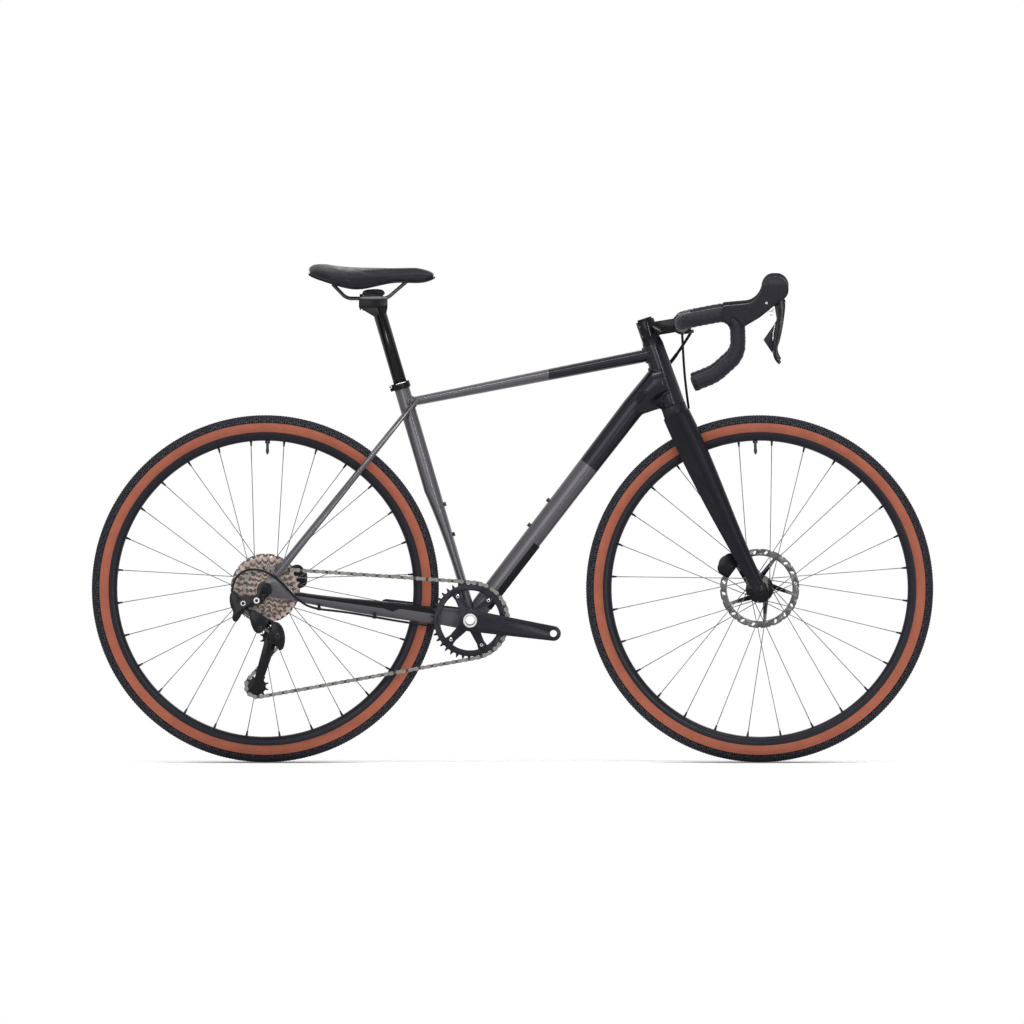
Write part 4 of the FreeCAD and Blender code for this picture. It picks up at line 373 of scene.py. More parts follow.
@dataclass(frozen=True)
class RubberWithPaintedRibShade(PairedFinish):
    """Tread rubber with fine ribs across the tyre painted on as colour, on the piece's own UV map: painted
    light on the ribs, painted shade in the grooves.
    """

    rib_pitch: float = 0.0046

    def share(self, shader: Shader) -> Socket:
        """One on the lighter painted ribs and none in the darker painted grooves."""
        turn = shader.maths("MULTIPLY", shader.parts(shader.sheet)["X"], 2 * math.pi / self.rib_pitch)
        return shader.span(shader.maths("SINE", turn), 0.0, 1.0)


@dataclass(frozen=True)
class CogSteelPaintedShade(PairedFinish):
    """Sprocket steel painted in two tones on alternate sprockets: the darker tone is painted shade."""

    first_face: float = 0.0
    spacing: float = 0.00374

    def share(self, shader: Shader) -> Socket:
        """One on every second sprocket, which gets the darker painted shade."""
        offset = shader.maths("SUBTRACT", shader.parts(shader.place)["Y"], self.first_face)
        steps = shader.maths("DIVIDE", offset, self.spacing)
        return shader.maths("MODULO", shader.maths("FLOOR", steps), 2.0)


GREY: Rgb = (77, 75, 79)
BLACK: Rgb = (27, 26, 33)
DOWN_TUBE_HEADING: Point = (0.6088, 0.0, 0.7934)
PAINT_GRAIN = {"tone_spread": 0.02, "tone_scale": 7.0, "grain_scale": 5000, "grain_depth": 0.000004}
GREY_PAINT = Finish("grey_paint", GREY, 0.27, metallic=0.5, specular=0.22, coat=0.2, coat_roughness=0.1,
                    **PAINT_GRAIN)
STAY_EDGE = ((-0.4400, 0.3375), (-0.2609, 0.3112), (-0.2418, 0.3045), (-0.2267, 0.3100), (-0.1500, 0.2985))
STAY_PAINT = GuardedPaint("stay_paint", GREY, 0.42, specular=0.06, other=(16, 16, 19), edge=STAY_EDGE,
                          **PAINT_GRAIN)
BLACK_PAINT = Finish("black_paint", BLACK, 0.25, metallic=0.45, specular=0.2, coat=0.15, **PAINT_GRAIN)
TUBE_PAINT = {"metallic": 0.45, "specular": 0.2, "coat": 0.1, "other": BLACK, **PAINT_GRAIN}
TOP_TUBE_PAINT = TwoTonePaint("top_tube_paint", GREY, 0.26, change_at=0.073, **TUBE_PAINT)
DOWN_TUBE_PAINT = TwoTonePaint("down_tube_paint", GREY, 0.26, heading=DOWN_TUBE_HEADING, change_at=0.5687,
                               **TUBE_PAINT)
FORK_PAINT = Finish("fork_paint", (22, 21, 27), 0.4, specular=0.1, tone_spread=0.07, grain=Grain.CAST,
                    grain_scale=2500, grain_depth=0.00002)
ALLOY = Finish("black_alloy", (14, 14, 17), 0.26, specular=0.13, tone_spread=0.1,
               grain=Grain.CAST, grain_scale=1800, grain_depth=0.00003)
GLOSS_ALLOY = Finish("gloss_alloy", (9, 9, 12), 0.12, specular=0.16, tone_spread=0.08)
CRANK_ALLOY = Finish("crank_alloy", (30, 29, 36), 0.28, metallic=0.35, specular=0.14, tone_spread=0.06,
                     grain=Grain.CAST, grain_scale=2200, grain_depth=0.00002)
MECH = Finish("mech_black", (13, 12, 17), 0.2, specular=0.16, tone_spread=0.12,
              grain=Grain.CAST, grain_scale=1500, grain_depth=0.00003)
# Cassette: other is a darker copy of the steel, painted shade on every second sprocket.
COG_STEEL_PAINTED_SHADE = CogSteelPaintedShade("cog_steel", (150, 136, 129), 0.34, metallic=0.75, tone_spread=0.25, tone_scale=160,
                     grain=Grain.BRUSHED, grain_scale=1400, other=(84, 75, 70), first_face=-0.0656)
CHAIN_STEEL = Finish("chain_steel", (116, 114, 111), 0.3, metallic=0.8, tone_spread=0.12, tone_scale=90)
CHAIN_DARK = Finish("chain_dark", (56, 54, 52), 0.4, metallic=0.7, tone_spread=0.15, tone_scale=90)
SILVER = Finish("silver", (205, 205, 205), 0.2, metallic=0.95, tone_spread=0.04, grain=Grain.BRUSHED)
BOLT_STEEL = Finish("bolt_steel", (46, 46, 50), 0.28, metallic=0.7, tone_spread=0.1)
SPOKE_STEEL = Finish("spoke_steel", (92, 92, 98), 0.3, metallic=0.7, tone_spread=0.08, tone_scale=120)
RAIL_STEEL = Finish("rail_steel", (58, 57, 58), 0.26, metallic=0.75, tone_spread=0.08)
RIM_ALLOY = Finish("rim_alloy", (25, 25, 32), 0.3, specular=0.12, tone_spread=0.06,
                   grain=Grain.CAST, grain_scale=2500, grain_depth=0.00002)
TREAD = Finish("tread_rubber", (50, 50, 56), 0.75, specular=0.15, tone_spread=0.14, tone_scale=80,
               grain=Grain.CAST, grain_scale=1600, grain_depth=0.00008)
# Tread bed: a darker copy of the knob rubber, painted shade between the knobs, with lighter painted ribs.
TREAD_BED_PAINTED_SHADE = RubberWithPaintedRibShade("tread_bed", (15, 15, 18), 0.85, specular=0.1, tone_spread=0.14, tone_scale=80,
                         grain=Grain.CAST, grain_scale=1600, grain_depth=0.00008, other=(74, 74, 82))
TAN = Finish("tan_sidewall", (143, 82, 64), 0.72, specular=0.12, tone_spread=0.07, tone_scale=30,
             grain=Grain.WOVEN, grain_scale=520, grain_depth=0.00006)
RUBBER = Finish("matt_rubber", (18, 18, 21), 0.7, specular=0.15, tone_spread=0.1, grain=Grain.CAST,
                grain_scale=1400, grain_depth=0.00006)
HOOD_RUBBER = Finish("hood_rubber", (25, 23, 29), 0.5, specular=0.12, tone_spread=0.08, grain=Grain.PEBBLED,
                     grain_scale=700, grain_depth=0.0001)
TAPE = Finish("bar_tape", (31, 29, 36), 0.5, specular=0.12, sheen=0.06, tone_spread=0.12, tone_scale=60,
              grain=Grain.DOTTED, grain_scale=420, grain_depth=0.00025)
SADDLE_SKIN = Finish("saddle_skin", (24, 22, 29), 0.42, specular=0.12, sheen=0.05, tone_spread=0.08,
                     grain=Grain.PEBBLED, grain_scale=900, grain_depth=0.0001)
PLASTIC = Finish("black_plastic", (14, 14, 17), 0.35, specular=0.13, tone_spread=0.08, grain=Grain.CAST,
                 grain_scale=1500, grain_depth=0.00004)
HOSE = Finish("hose_jacket", (12, 12, 15), 0.33, specular=0.13, tone_spread=0.08)


# Mesh making


def new_object(name: str, data: bpy.types.ID) -> Piece:
    """Object at the origin, in the scene."""
    made = bpy.data.objects.new(name, data)
    bpy.context.scene.collection.objects.link(made)
    return made


def smooth(mesh: Mesh, sharp_degrees: float = SHARP_DEGREES) -> None:
    """Shade a mesh smooth, with its corners kept sharp."""
    mesh.shade_smooth()
    mesh.set_sharp_from_angle(angle=math.radians(sharp_degrees))


def modified(made: Piece, name: str, kind: str, **settings: object) -> bpy.types.Modifier:
    """Add a modifier with its settings."""
    modifier = made.modifiers.new(name, kind)
    for key, value in settings.items():
        setattr(modifier, key, value)
    return modifier


def mesh_from(name: str, points: Sequence[Vector], faces: Sequence[Sequence[int]],
              finishes: Sequence[Finish], slots: Sequence[int] = (), sharp_degrees: float = SHARP_DEGREES,
              sheet: Sequence[Sequence] = ()) -> Mesh:
    """Closed mesh with its finishes, shaded smooth and facing outwards.

    Args:
        name: name of the mesh.
        points: corners.
        faces: rows of corner numbers.
        finishes: finishes, one a slot.
        slots: slot of each face.
        sharp_degrees: angle from which an edge stays sharp.
        sheet: place of each corner of the first faces on the UV map.

    Returns:
        The mesh.
    """
    mesh = bpy.data.meshes.new(name)
    mesh.from_pydata([tuple(point) for point in points], [], [tuple(face) for face in faces])
    if sheet:
        layer = mesh.uv_layers.new(name="surface")
        for face, corners in zip(mesh.polygons, sheet):
            for loop, corner in zip(face.loop_indices, corners):
                layer.data[loop].uv = corner
    for finish in finishes:
        mesh.materials.append(finish.material())
    for face, slot in zip(mesh.polygons, slots):
        face.material_index = slot
    work = bmesh.new()
    work.from_mesh(mesh)
    bmesh.ops.recalc_face_normals(work, faces=work.faces)
    work.to_mesh(mesh)
    work.free()
    smooth(mesh, sharp_degrees)
    return mesh


def prism_faces(first: int, count: int) -> list[tuple[int, ...]]:
    """Caps and sides between two rings of corners that follow each other."""
    faces = [tuple(range(start, start + count)) for start in (first, first + count)]
    for k in range(first, first + count):
        after = first + (k - first + 1) % count
        faces.append((k, after, after + count, k + count))
    return faces


def unwrapped(u_a: float, u_b: float, v_a: float, v_b: float) -> tuple[tuple[float, float], ...]:
    """Corners of a patch of the UV map."""
    return (u_a, v_a), (u_b, v_a), (u_b, v_b), (u_a, v_b)


def lathe(name: str, profile: Outline, axle: Vector, steps: int, finishes: Sequence[Finish],
          slots: Sequence[int] = (), sharp_degrees: float = SHARP_DEGREES) -> Mesh:
    """Closed outline turned about an axle along Y, with a UV map in metres.

    Args:
        name: name of the mesh.
        profile: radius and place across of each corner of the closed outline.
        axle: middle of the axle.
        steps: steps round the axle.
        finishes: finishes, one a slot.
        slots: slot of each stretch of the outline.
        sharp_degrees: angle from which an edge stays sharp.

    Returns:
        The mesh.
    """
    count = len(profile)
    points = []
    for step in range(steps):
        turn = 2 * math.pi * step / steps
        outward = Vector((math.sin(turn), 0, math.cos(turn)))
        points += [axle + outward * radius + Vector((0, across, 0)) for radius, across in profile]
    faces, marks, sheet = [], [], []
    lengths = [0.0]
    for (r_a, y_a), (r_b, y_b) in zip(profile, list(profile[1:]) + [profile[0]]):
        lengths.append(lengths[-1] + math.hypot(r_b - r_a, y_b - y_a))
    middle_radius = max(radius for radius, _ in profile)
    for step in range(steps):
        after = (step + 1) % steps
        u_a, u_b = (2 * math.pi * middle_radius * k / steps for k in (step, step + 1))
        for row in range(count):
            low = (row + 1) % count
            faces.append((step * count + row, after * count + row, after * count + low, step * count + low))
            marks.append(slots[row] if slots else 0)
            sheet.append(unwrapped(u_a, u_b, lengths[row], lengths[row + 1]))
    return mesh_from(name, points, faces, finishes, marks, sharp_degrees, sheet)


def carried(line: Sequence[Vector]) -> list[tuple[Vector, Vector]]:
    """Two sideways directions at each point of a line, without twist."""
    rows = []
    sideways = Vector((0, 0, 1))
    for index in range(len(line)):
        before = line[max(index - 1, 0)]
        after = line[min(index + 1, len(line) - 1)]
        heading = (after - before).normalized()
        sideways = sideways - heading * sideways.dot(heading)
        if sideways.length < 1e-6:
            sideways = heading.orthogonal()
        sideways = sideways.normalized()
        rows.append((sideways, heading.cross(sideways)))
    return rows


def tube(name: str, line: Sequence[Vector], radius: float | Size, sides: int, finish: Finish,
         sharp_degrees: float = SHARP_DEGREES, closed: bool = False) -> Mesh:
    """Tube along a line, capped at both ends or closed to a loop, with a UV map in metres.

    Args:
        name: name of the mesh.
        line: points of its middle line.
        radius: radius, or what gives it at a distance along the line and an angle round it.
        sides: corners round it.
        finish: its finish.
        sharp_degrees: angle from which an edge stays sharp.
        closed: whether the line's end runs back into its start.

    Returns:
        The mesh.
    """
    size = radius if callable(radius) else lambda travel, turn: radius
    points: list[Vector] = []
    travel = 0.0
    travels = []
    for index, (spot, (first, second)) in enumerate(zip(line, carried(line))):
        if index:
            travel += (spot - line[index - 1]).length
        travels.append(travel)
        for side in range(sides):
            turn = 2 * math.pi * side / sides
            points.append(spot + (first * math.cos(turn) + second * math.sin(turn)) * size(travel, turn))
    faces: list[tuple[int, ...]] = []
    sheet = []
    reach = size(0.0, 0.0) * 2 * math.pi
    for row in range(len(line) - 1):
        for side in range(sides):
            after = (side + 1) % sides
            low, high = row * sides, (row + 1) * sides
            faces.append((low + side, low + after, high + after, high + side))
            sheet.append(unwrapped(reach * side / sides, reach * (side + 1) / sides,
                                   travels[row], travels[row + 1]))
    last = (len(line) - 1) * sides
    if closed:
        shift = min(range(sides), key=lambda k: (points[last] - points[k]).length)
        for side in range(sides):
            start, after = (side + shift) % sides, (side + 1 + shift) % sides
            faces.append((last + side, last + (side + 1) % sides, after, start))
    else:
        faces.append(tuple(range(sides)))
        faces.append(tuple(range(last, last + sides)))
    return mesh_from(name, points, faces, (finish,), (), sharp_degrees, sheet)


def stepped(sizes: Outline) -> Size:
    """Radius of a tube in steps.

    Args:
        sizes: distance along the line up to which a radius holds, and the radius.

    Returns:
        What gives the radius at a distance and an angle.
    """
    return lambda travel, _: next(size for limit, size in sizes if travel < limit)


def evened(rough: Sequence[Vector], step: float) -> list[Vector]:
    """Points at even steps along a row of points."""
    even, left = [rough[0]], step
    for start, end in zip(rough, rough[1:]):
        length = (end - start).length
        while left <= length:
            even.append(start + (end - start) * (left / length))
            left += step
        left -= length
    return even


def settled(made: Piece) -> None:
    """Turn a piece with its modifiers into a plain mesh."""
    bpy.context.view_layer.update()
    evaluated = made.evaluated_get(bpy.context.evaluated_depsgraph_get())
    mesh = bpy.data.meshes.new_from_object(evaluated)
    made.modifiers.clear()
    made.data = mesh


class UnitTree(Nodes):
    """Geometry nodes that set a unit on points, turned about Y."""

    def __init__(self, name: str, sockets: dict[str, str]) -> None:
        """Start a tree.

        Args:
            name: name of the tree.
            sockets: kind of each input besides the geometry.
        """
        super().__init__(bpy.data.node_groups.new(name, "GeometryNodeTree"))
        self.keys = {}
        rows = [(word, "INPUT", kind) for word, kind in sockets.items()]
        for word, way, kind in (("Geometry", "INPUT", "Geometry"), *rows, ("Geometry", "OUTPUT", "Geometry")):
            made = self.tree.interface.new_socket(word, in_out=way, socket_type="NodeSocket" + kind)
            self.keys[word] = made.identifier
        self.start = self.add("NodeGroupInput").outputs

    def close(self, points: Socket, unit: Socket, turn: Socket) -> None:
        """Set the unit on each point and dress it."""
        about = self.add("ShaderNodeCombineXYZ", {"Y": turn}).outputs[0]
        inputs = {"Points": points, "Instance": unit, "Rotation": about}
        place = self.add("GeometryNodeInstanceOnPoints", inputs)
        real = self.add("GeometryNodeRealizeInstances", {0: place.outputs[0]}).outputs[0]
        dressed = self.add("GeometryNodeSetMaterial", {"Geometry": real, "Material": self.start["Finish"]})
        self.add("NodeGroupOutput", {0: dressed.outputs[0]})

    def apply(self, made: Piece, sharp_degrees: float, **values: object) -> Piece:
        """Turn a piece into the repeated units.

        Args:
            made: the piece.
            sharp_degrees: angle from which an edge stays sharp.
            values: values of the tree's inputs.

        Returns:
            The piece as a plain mesh.
        """
        modifier = modified(made, "repeat", "NODES", node_group=self.tree)
        for word, value in values.items():
            modifier[self.keys[word.capitalize()]] = value
        settled(made)
        smooth(made.data, sharp_degrees)
        return made


class RingTree(UnitTree):
    """Geometry nodes that repeat a piece round an axle along Y."""

    def __init__(self) -> None:
        """Build the tree once."""
        super().__init__("round_the_axle", {"Count": "Int", "Axle": "Vector", "Finish": "Material"})
        count = self.start["Count"]
        points = self.add("GeometryNodePoints", {"Count": count, "Position": self.start["Axle"]})
        index = self.add("GeometryNodeInputIndex").outputs["Index"]
        turn = self.maths("MULTIPLY", index, self.maths("DIVIDE", 2 * math.pi, count))
        self.close(points.outputs[0], self.start["Geometry"], turn)

    def repeat(self, name: str, unit: Mesh, axle: Vector, count: int, finish: Finish,
               sharp_degrees: float = SHARP_DEGREES) -> Piece:
        """Repeat a unit round an axle.

        Args:
            name: name of the new piece.
            unit: one unit, placed from the axle's middle.
            axle: middle of the axle.
            count: number of units.
            finish: finish of all of them.
            sharp_degrees: angle from which an edge stays sharp.

        Returns:
            The piece as a plain mesh.
        """
        made = new_object(name, unit)
        return self.apply(made, sharp_degrees, count=count, axle=tuple(axle), finish=finish.material())


RING = RingTree()


def finish_piece(made: Piece, body: str, slot: str, *nodes: str) -> Piece:
    """Let a piece ride on a body and stand for its CAD nodes.

    Args:
        made: the piece.
        body: body that carries it.
        slot: material slot of the record; not used.
        nodes: CAD nodes that it stands for.

    Returns:
        The piece.
    """
    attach(made, body)
    if nodes:
        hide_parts(*nodes)
    LOG.info("%s rides on %s, %d faces", made.name, body, len(made.data.polygons))
    return made


def placed(name: str, mesh: Mesh, body: str, slot: str, *nodes: str) -> Piece:
    """Finished piece made from a mesh."""
    return finish_piece(new_object(name, mesh), body, slot, *nodes)


def rod(name: str, line: Sequence[Vector], radius: float | Size, sides: int, finish: Finish, body: str,
        slot: str, *nodes: str, sharp_degrees: float = SHARP_DEGREES, closed: bool = False) -> Piece:
    """Finished tube along a line, on a body."""
    mesh = tube(name + "_mesh", line, radius, sides, finish, sharp_degrees, closed)
    return placed(name, mesh, body, slot, *nodes)


def welded(node: str, gap: float = 0.00001, flat_degrees: float = 0.0) -> Mesh:
    """Bare copy of a CAD node's mesh with its corners joined.

    Args:
        node: the CAD node.
        gap: distance within which corners are joined.
        flat_degrees: angle below which faces are joined.

    Returns:
        The mesh.
    """
    mesh = frame["nodes"][node].data.copy()
    work = bmesh.new()
    work.from_mesh(mesh)
    bmesh.ops.remove_doubles(work, verts=work.verts, dist=gap)
    if flat_degrees:
        angle = math.radians(flat_degrees)
        bmesh.ops.dissolve_limit(work, angle_limit=angle, verts=work.verts, edges=work.edges)
    work.to_mesh(mesh)
    work.free()
    mesh.materials.clear()
    return mesh


def softly_rounded(name: str, node: str, voxel: float, factor: float, rounds: int) -> Piece:
    """Piece made from a CAD node by even cells, rounded off.

    Args:
        name: name of the piece.
        node: the CAD node.
        voxel: size of a cell.
        factor: strength of each round of smoothing.
        rounds: rounds of smoothing.

    Returns:
        The piece, not yet dressed.
    """
    made = new_object(name, welded(node))
    modified(made, "even", "REMESH", mode="VOXEL", voxel_size=voxel)
    modified(made, "eased", "SMOOTH", factor=factor, iterations=rounds)
    settled(made)
    return made


def bevelled(made: Piece, width: float, segments: int, degrees: float) -> None:
    """Ease the edges of a piece."""
    modified(made, "ease", "BEVEL", width=width, segments=segments, limit_method="ANGLE",
             angle_limit=math.radians(degrees))
    settled(made)


def side_face(node: str, x: float, z: float) -> float:
    """Place across of a CAD node's drive-side face at a point."""
    mesh = frame["nodes"][node].data
    corners = [corner.co for corner in mesh.vertices]
    tree = BVHTree.FromPolygons(corners, [face.vertices for face in mesh.polygons])
    spot = tree.ray_cast(Vector((x, -1.0, z)), Vector((0.0, 1.0, 0.0)))[0]
    return spot.y if spot else 0.0


def softened(outline: Outline, rounds: int = 2) -> list[tuple[float, float]]:
    """Outline with its corners cut, round after round."""
    points = list(outline)
    for _ in range(rounds):
        cut: list[tuple[float, float]] = []
        for (x_a, z_a), (x_b, z_b) in zip(points, points[1:] + points[:1]):
            cut.append((0.75 * x_a + 0.25 * x_b, 0.75 * z_a + 0.25 * z_b))
            cut.append((0.25 * x_a + 0.75 * x_b, 0.25 * z_a + 0.75 * z_b))
        points = cut
    return points


@dataclass
class Slab:
    """Flat piece with an outline in X and Z, between two places across, with eased edges."""

    name: str
    body: str
    slot: str
    finish: Finish
    outline: Outline
    outer: float
    inner: float
    ease: float = 0.0012

    def build(self) -> Piece:
        """Make the piece.

        Returns:
            The piece.
        """
        outline = softened(self.outline)
        points = [Vector((x, across, z)) for across in (self.outer, self.inner) for x, z in outline]
        faces = prism_faces(0, len(outline))
        made = new_object(self.name, mesh_from(self.name + "_mesh", points, faces, (self.finish,)))
        bevelled(made, self.ease, segments=3, degrees=50)
        smooth(made.data)
        return finish_piece(made, self.body, self.slot)


@dataclass
class Bolt:
    """Round screw head with a dark socket, along Y."""

    name: str
    body: str
    place: Point
    radius: float
    finish: Finish
    height: float = 0.0022
    socket_share: float = 0.5
    heading: int = -1

    def build(self) -> Piece:
        """Make the head.

        Returns:
            The head.
        """
        face, back = 0.0, -self.heading * self.height
        socket, floor = self.radius * self.socket_share, 0.6 * back
        profile = ((0.0002, back), (self.radius, back), (self.radius, 0.3 * back), (0.86 * self.radius, face),
                   (socket, face), (socket, floor), (0.0002, floor))
        mesh = lathe(self.name + "_mesh", profile, Vector(self.place), 28, (self.finish, MECH),
                     (0, 0, 0, 0, 1, 1, 1), 30.0)
        return placed(self.name, mesh, self.body, "steel")


@dataclass
class Skin:
    """A rigid CAD node with its edges eased and its surface dressed."""

    node: str
    body: str
    slot: str
    finish: Finish
    ease: float = 0.0005
    sharp_degrees: float = SHARP_DEGREES

    def build(self) -> Piece:
        """Copy the node's mesh, join its triangles, ease its edges and dress it.

        Returns:
            The piece.
        """
        mesh = welded(self.node, gap=0.000005, flat_degrees=0.3)
        mesh.materials.append(self.finish.material())
        for face in mesh.polygons:
            face.material_index = 0
        made = new_object(self.node + "_skin", mesh)
        if self.ease > 0:
            bevelled(made, self.ease, segments=2, degrees=42)
        smooth(made.data, self.sharp_degrees)
        return finish_piece(made, self.body, self.slot, self.node)


# Wheels


RIM_WALL = ((0.3168, 0.0117), (0.3172, 0.0128), (0.3168, 0.0139), (0.3125, 0.0140), (0.3080, 0.0137),
            (0.3040, 0.0124), (0.3008, 0.0098), (0.2988, 0.0062), (0.2981, 0.0028))
RIM_BED = ((0.3096, 0.0092), (0.3094, 0.0045))
VALVE_SIZES = ((0.008, 0.0052), (0.020, 0.0029), (0.027, 0.0034), (math.inf, 0.0022))


@dataclass
class Wheel:
    """Tyre with knobs and tan walls, rim, spokes and nipples of one wheel."""

    name: str
    axle: Vector
    spoke_turn: float
    flange_right: float
    flange_left: float
    tyre_radius: float = 0.350
    section_radius: float = 0.020
    tread_base: float = 0.0176
    tread_degrees: float = 77.0
    bead_degrees: float = 134.0
    tread_lip: float = 0.0003
    wall: float = 0.0022
    knob_count: int = 360
    knob_half: tuple[float, float] = (0.31, 5.4)
    shoulder_half: tuple[float, float] = (0.34, 6.2)
    shoulder_degrees: float = 55.0
    shoulder_drop: float = 0.0002
    knob_root: float = 0.0004
    knob_taper: float = 0.78
    casing_steps: int = 220
    rim_steps: int = 200
    knob_rows: tuple[float, ...] = (-63, -48, -33, -17, 0, 17, 33, 48, 63)
    rim_inner: float = 0.298
    spoke_count: int = 28
    spoke_radius: float = 0.00095
    flange_hole: float = 0.0245
    flange_offset: float = 0.0027
    rim_offset: float = 0.002
    nipple_length: float = 0.011
    nipple_rise: float = 0.002
    nipple_head: float = 0.0024
    nipple_neck: float = 0.0019

    @property
    def body(self) -> str:
        """Body that carries the wheel."""
        return self.name + "_wheel"

    def section(self, degrees: float, reach: float) -> tuple[float, float]:
        """Radius and place across of a point of the tyre's section."""
        turn = math.radians(degrees)
        return self.tyre_radius - self.section_radius + reach * math.cos(turn), reach * math.sin(turn)

    def build_tyre(self) -> None:
        """Casing with a tread bed painted darker than the knobs as painted shade, tan walls, and the knobs
        round it.
        """
        edge, bead, skin = self.tread_degrees, self.bead_degrees, self.section_radius
        walls = [-bead + (bead - edge - 2) * k / 7 for k in range(8)]
        rows = [(angle, skin, 1) for angle in walls]
        rows.append((-edge - 1, skin + self.tread_lip, 0))
        rows += [(-edge + 2 * edge * k / 14, self.tread_base, 0) for k in range(15)]
        rows.append((edge + 1, skin + self.tread_lip, 1))
        rows += [(-angle, skin, 1) for angle in reversed(walls[1:])]
        rows.append((-walls[0], skin, 0))
        rows += [(bead - 2 * bead * k / 11, skin - self.wall, 0) for k in range(12)]
        profile = [self.section(angle, reach) for angle, reach, _ in rows]
        slots = [slot for _, _, slot in rows]
        mesh = lathe(self.name + "_casing", profile, self.axle, self.casing_steps, (TREAD_BED_PAINTED_SHADE, TAN), slots,
                     50.0)
        placed(self.name + "_tyre_casing", mesh, self.body, "tyre", self.name + "_tyre")
        self.build_knobs()

    def build_knobs(self) -> None:
        """Small blocks in staggered rows across the tread."""
        step = 2 * math.pi / self.knob_count
        points: list[Vector] = []
        faces: list[tuple[int, ...]] = []
        for row, degrees in enumerate(self.knob_rows):
            shift = step / 2 if row % 2 else 0.0
            shoulder = abs(degrees) > self.shoulder_degrees
            share, half_wide = self.shoulder_half if shoulder else self.knob_half
            half_turn = step * share
            top = self.section_radius - (self.shoulder_drop if shoulder else 0.0)
            first = len(points)
            for reach, ease in ((self.tread_base - self.knob_root, 1.0), (top, self.knob_taper)):
                for along, across in ((-1, -1), (1, -1), (1, 1), (-1, 1)):
                    radius, offset = self.section(degrees + across * half_wide * ease, reach)
                    turn = shift + along * half_turn * ease
                    points.append(Vector((radius * math.sin(turn), offset, radius * math.cos(turn))))
            faces += prism_faces(first, 4)
        unit = mesh_from(self.name + "_knobs", points, faces, (TREAD,))
        made = RING.repeat(self.name + "_tread_knobs", unit, self.axle, self.knob_count, TREAD, 20.0)
        finish_piece(made, self.body, "tyre")

    def build_rim(self) -> None:
        """Rim with rounded walls, and the valve."""
        profile = [*RIM_WALL]
        profile += [(radius, -across) for radius, across in reversed(RIM_WALL)]
        profile += [(radius, -across) for radius, across in RIM_BED]
        profile += [(radius, across) for radius, across in reversed(RIM_BED)]
        mesh = lathe(self.name + "_rim_mesh", profile, self.axle, self.rim_steps, (RIM_ALLOY,), (), 60.0)
        placed(self.name + "_rim_ring", mesh, self.body, "black_alloy", self.name + "_rim")
        turn = math.radians(self.spoke_turn - 180 / self.spoke_count)
        outward = Vector((math.sin(turn), 0, math.cos(turn)))
        line = [self.axle + outward * (self.rim_inner + 0.003 - 0.001 * k) for k in range(31)]
        rod(self.name + "_valve", line, stepped(VALVE_SIZES), 12, BOLT_STEEL, self.body, "black_alloy")

    def spoke_ends(self, number: int) -> tuple[Vector, Vector]:
        """Hub and rim ends of a spoke, from the axle's middle."""
        side = Side.RIGHT if number % 2 == 0 else Side.LEFT
        flange = -self.flange_right if side is Side.RIGHT else self.flange_left
        leading = 1 if (number // 2) % 2 == 0 else -1
        rim_turn = math.radians(self.spoke_turn + 360 * number / self.spoke_count)
        hub_turn = rim_turn + leading * 2 * math.pi * 2 / (self.spoke_count / 2)
        hub = Vector((math.sin(hub_turn), 0, math.cos(hub_turn))) * self.flange_hole
        rim = Vector((math.sin(rim_turn), 0, math.cos(rim_turn))) * self.rim_inner
        hub.y, rim.y = flange + leading * self.flange_offset, side.value * self.rim_offset
        return hub, rim

    def build_spokes(self) -> None:
        """Crossed spokes, thinner in the middle, with dark nipples at the rim."""
        spokes, nipples = bmesh.new(), bmesh.new()
        for number in range(4):
            hub, rim = self.spoke_ends(number)
            length = (rim - hub).length
            heading = (rim - hub) / length
            line = [hub + heading * (length * share) for share in (0.0, 0.12, 0.16, 0.84, 0.88, 1.0)]
            thick = self.spoke_radius
            sizes = ((length * 0.13, thick), (length * 0.87, thick * 0.85), (math.inf, thick))
            spokes.from_mesh(tube("spoke", line, stepped(sizes), 8, SPOKE_STEEL))
            line = [rim - heading * (self.nipple_length * share) + heading * self.nipple_rise
                    for share in (0, 0.5, 0.55, 0.9, 1)]
            sizes = ((self.nipple_length * 0.52, self.nipple_head), (math.inf, self.nipple_neck))
            nipples.from_mesh(tube("nipple", line, stepped(sizes), 8, MECH))
        repeats = self.spoke_count // 4
        for word, work, finish in (("spokes", spokes, SPOKE_STEEL), ("nipples", nipples, MECH)):
            unit = bpy.data.meshes.new(f"{self.name}_{word}")
            work.to_mesh(unit)
            work.free()
            made = RING.repeat(f"{self.name}_{word}_drawn", unit, self.axle, repeats, finish, 60.0)
            nodes = (self.name + "_spokes",) if word == "spokes" else ()
            finish_piece(made, self.body, "steel", *nodes)

    def build_hub(self, carrier_radius: float) -> None:
        """Hub and brake disc."""
        Skin(self.name + "_hub", self.body, "black_alloy", GLOSS_ALLOY, 0.0006).build()
        steel = RotorSteel(self.name + "_rotor_steel", (82, 80, 80), 0.3, metallic=0.8, tone_spread=0.1,
                           grain=Grain.BRUSHED, grain_scale=1600, other=(30, 30, 34), axle=tuple(self.axle),
                           carrier_radius=carrier_radius)
        Skin(self.name + "_rotor", self.body, "steel", steel, 0.0003).build()

    def build(self, carrier_radius: float) -> None:
        """Build the whole wheel."""
        self.build_tyre()
        self.build_rim()
        self.build_spokes()
        self.build_hub(carrier_radius)


# Frame


CLIP_PLACES: tuple[Point, ...] = ((-0.3899, -0.0775, 0.3112), (-0.2781, -0.0590, 0.2941))


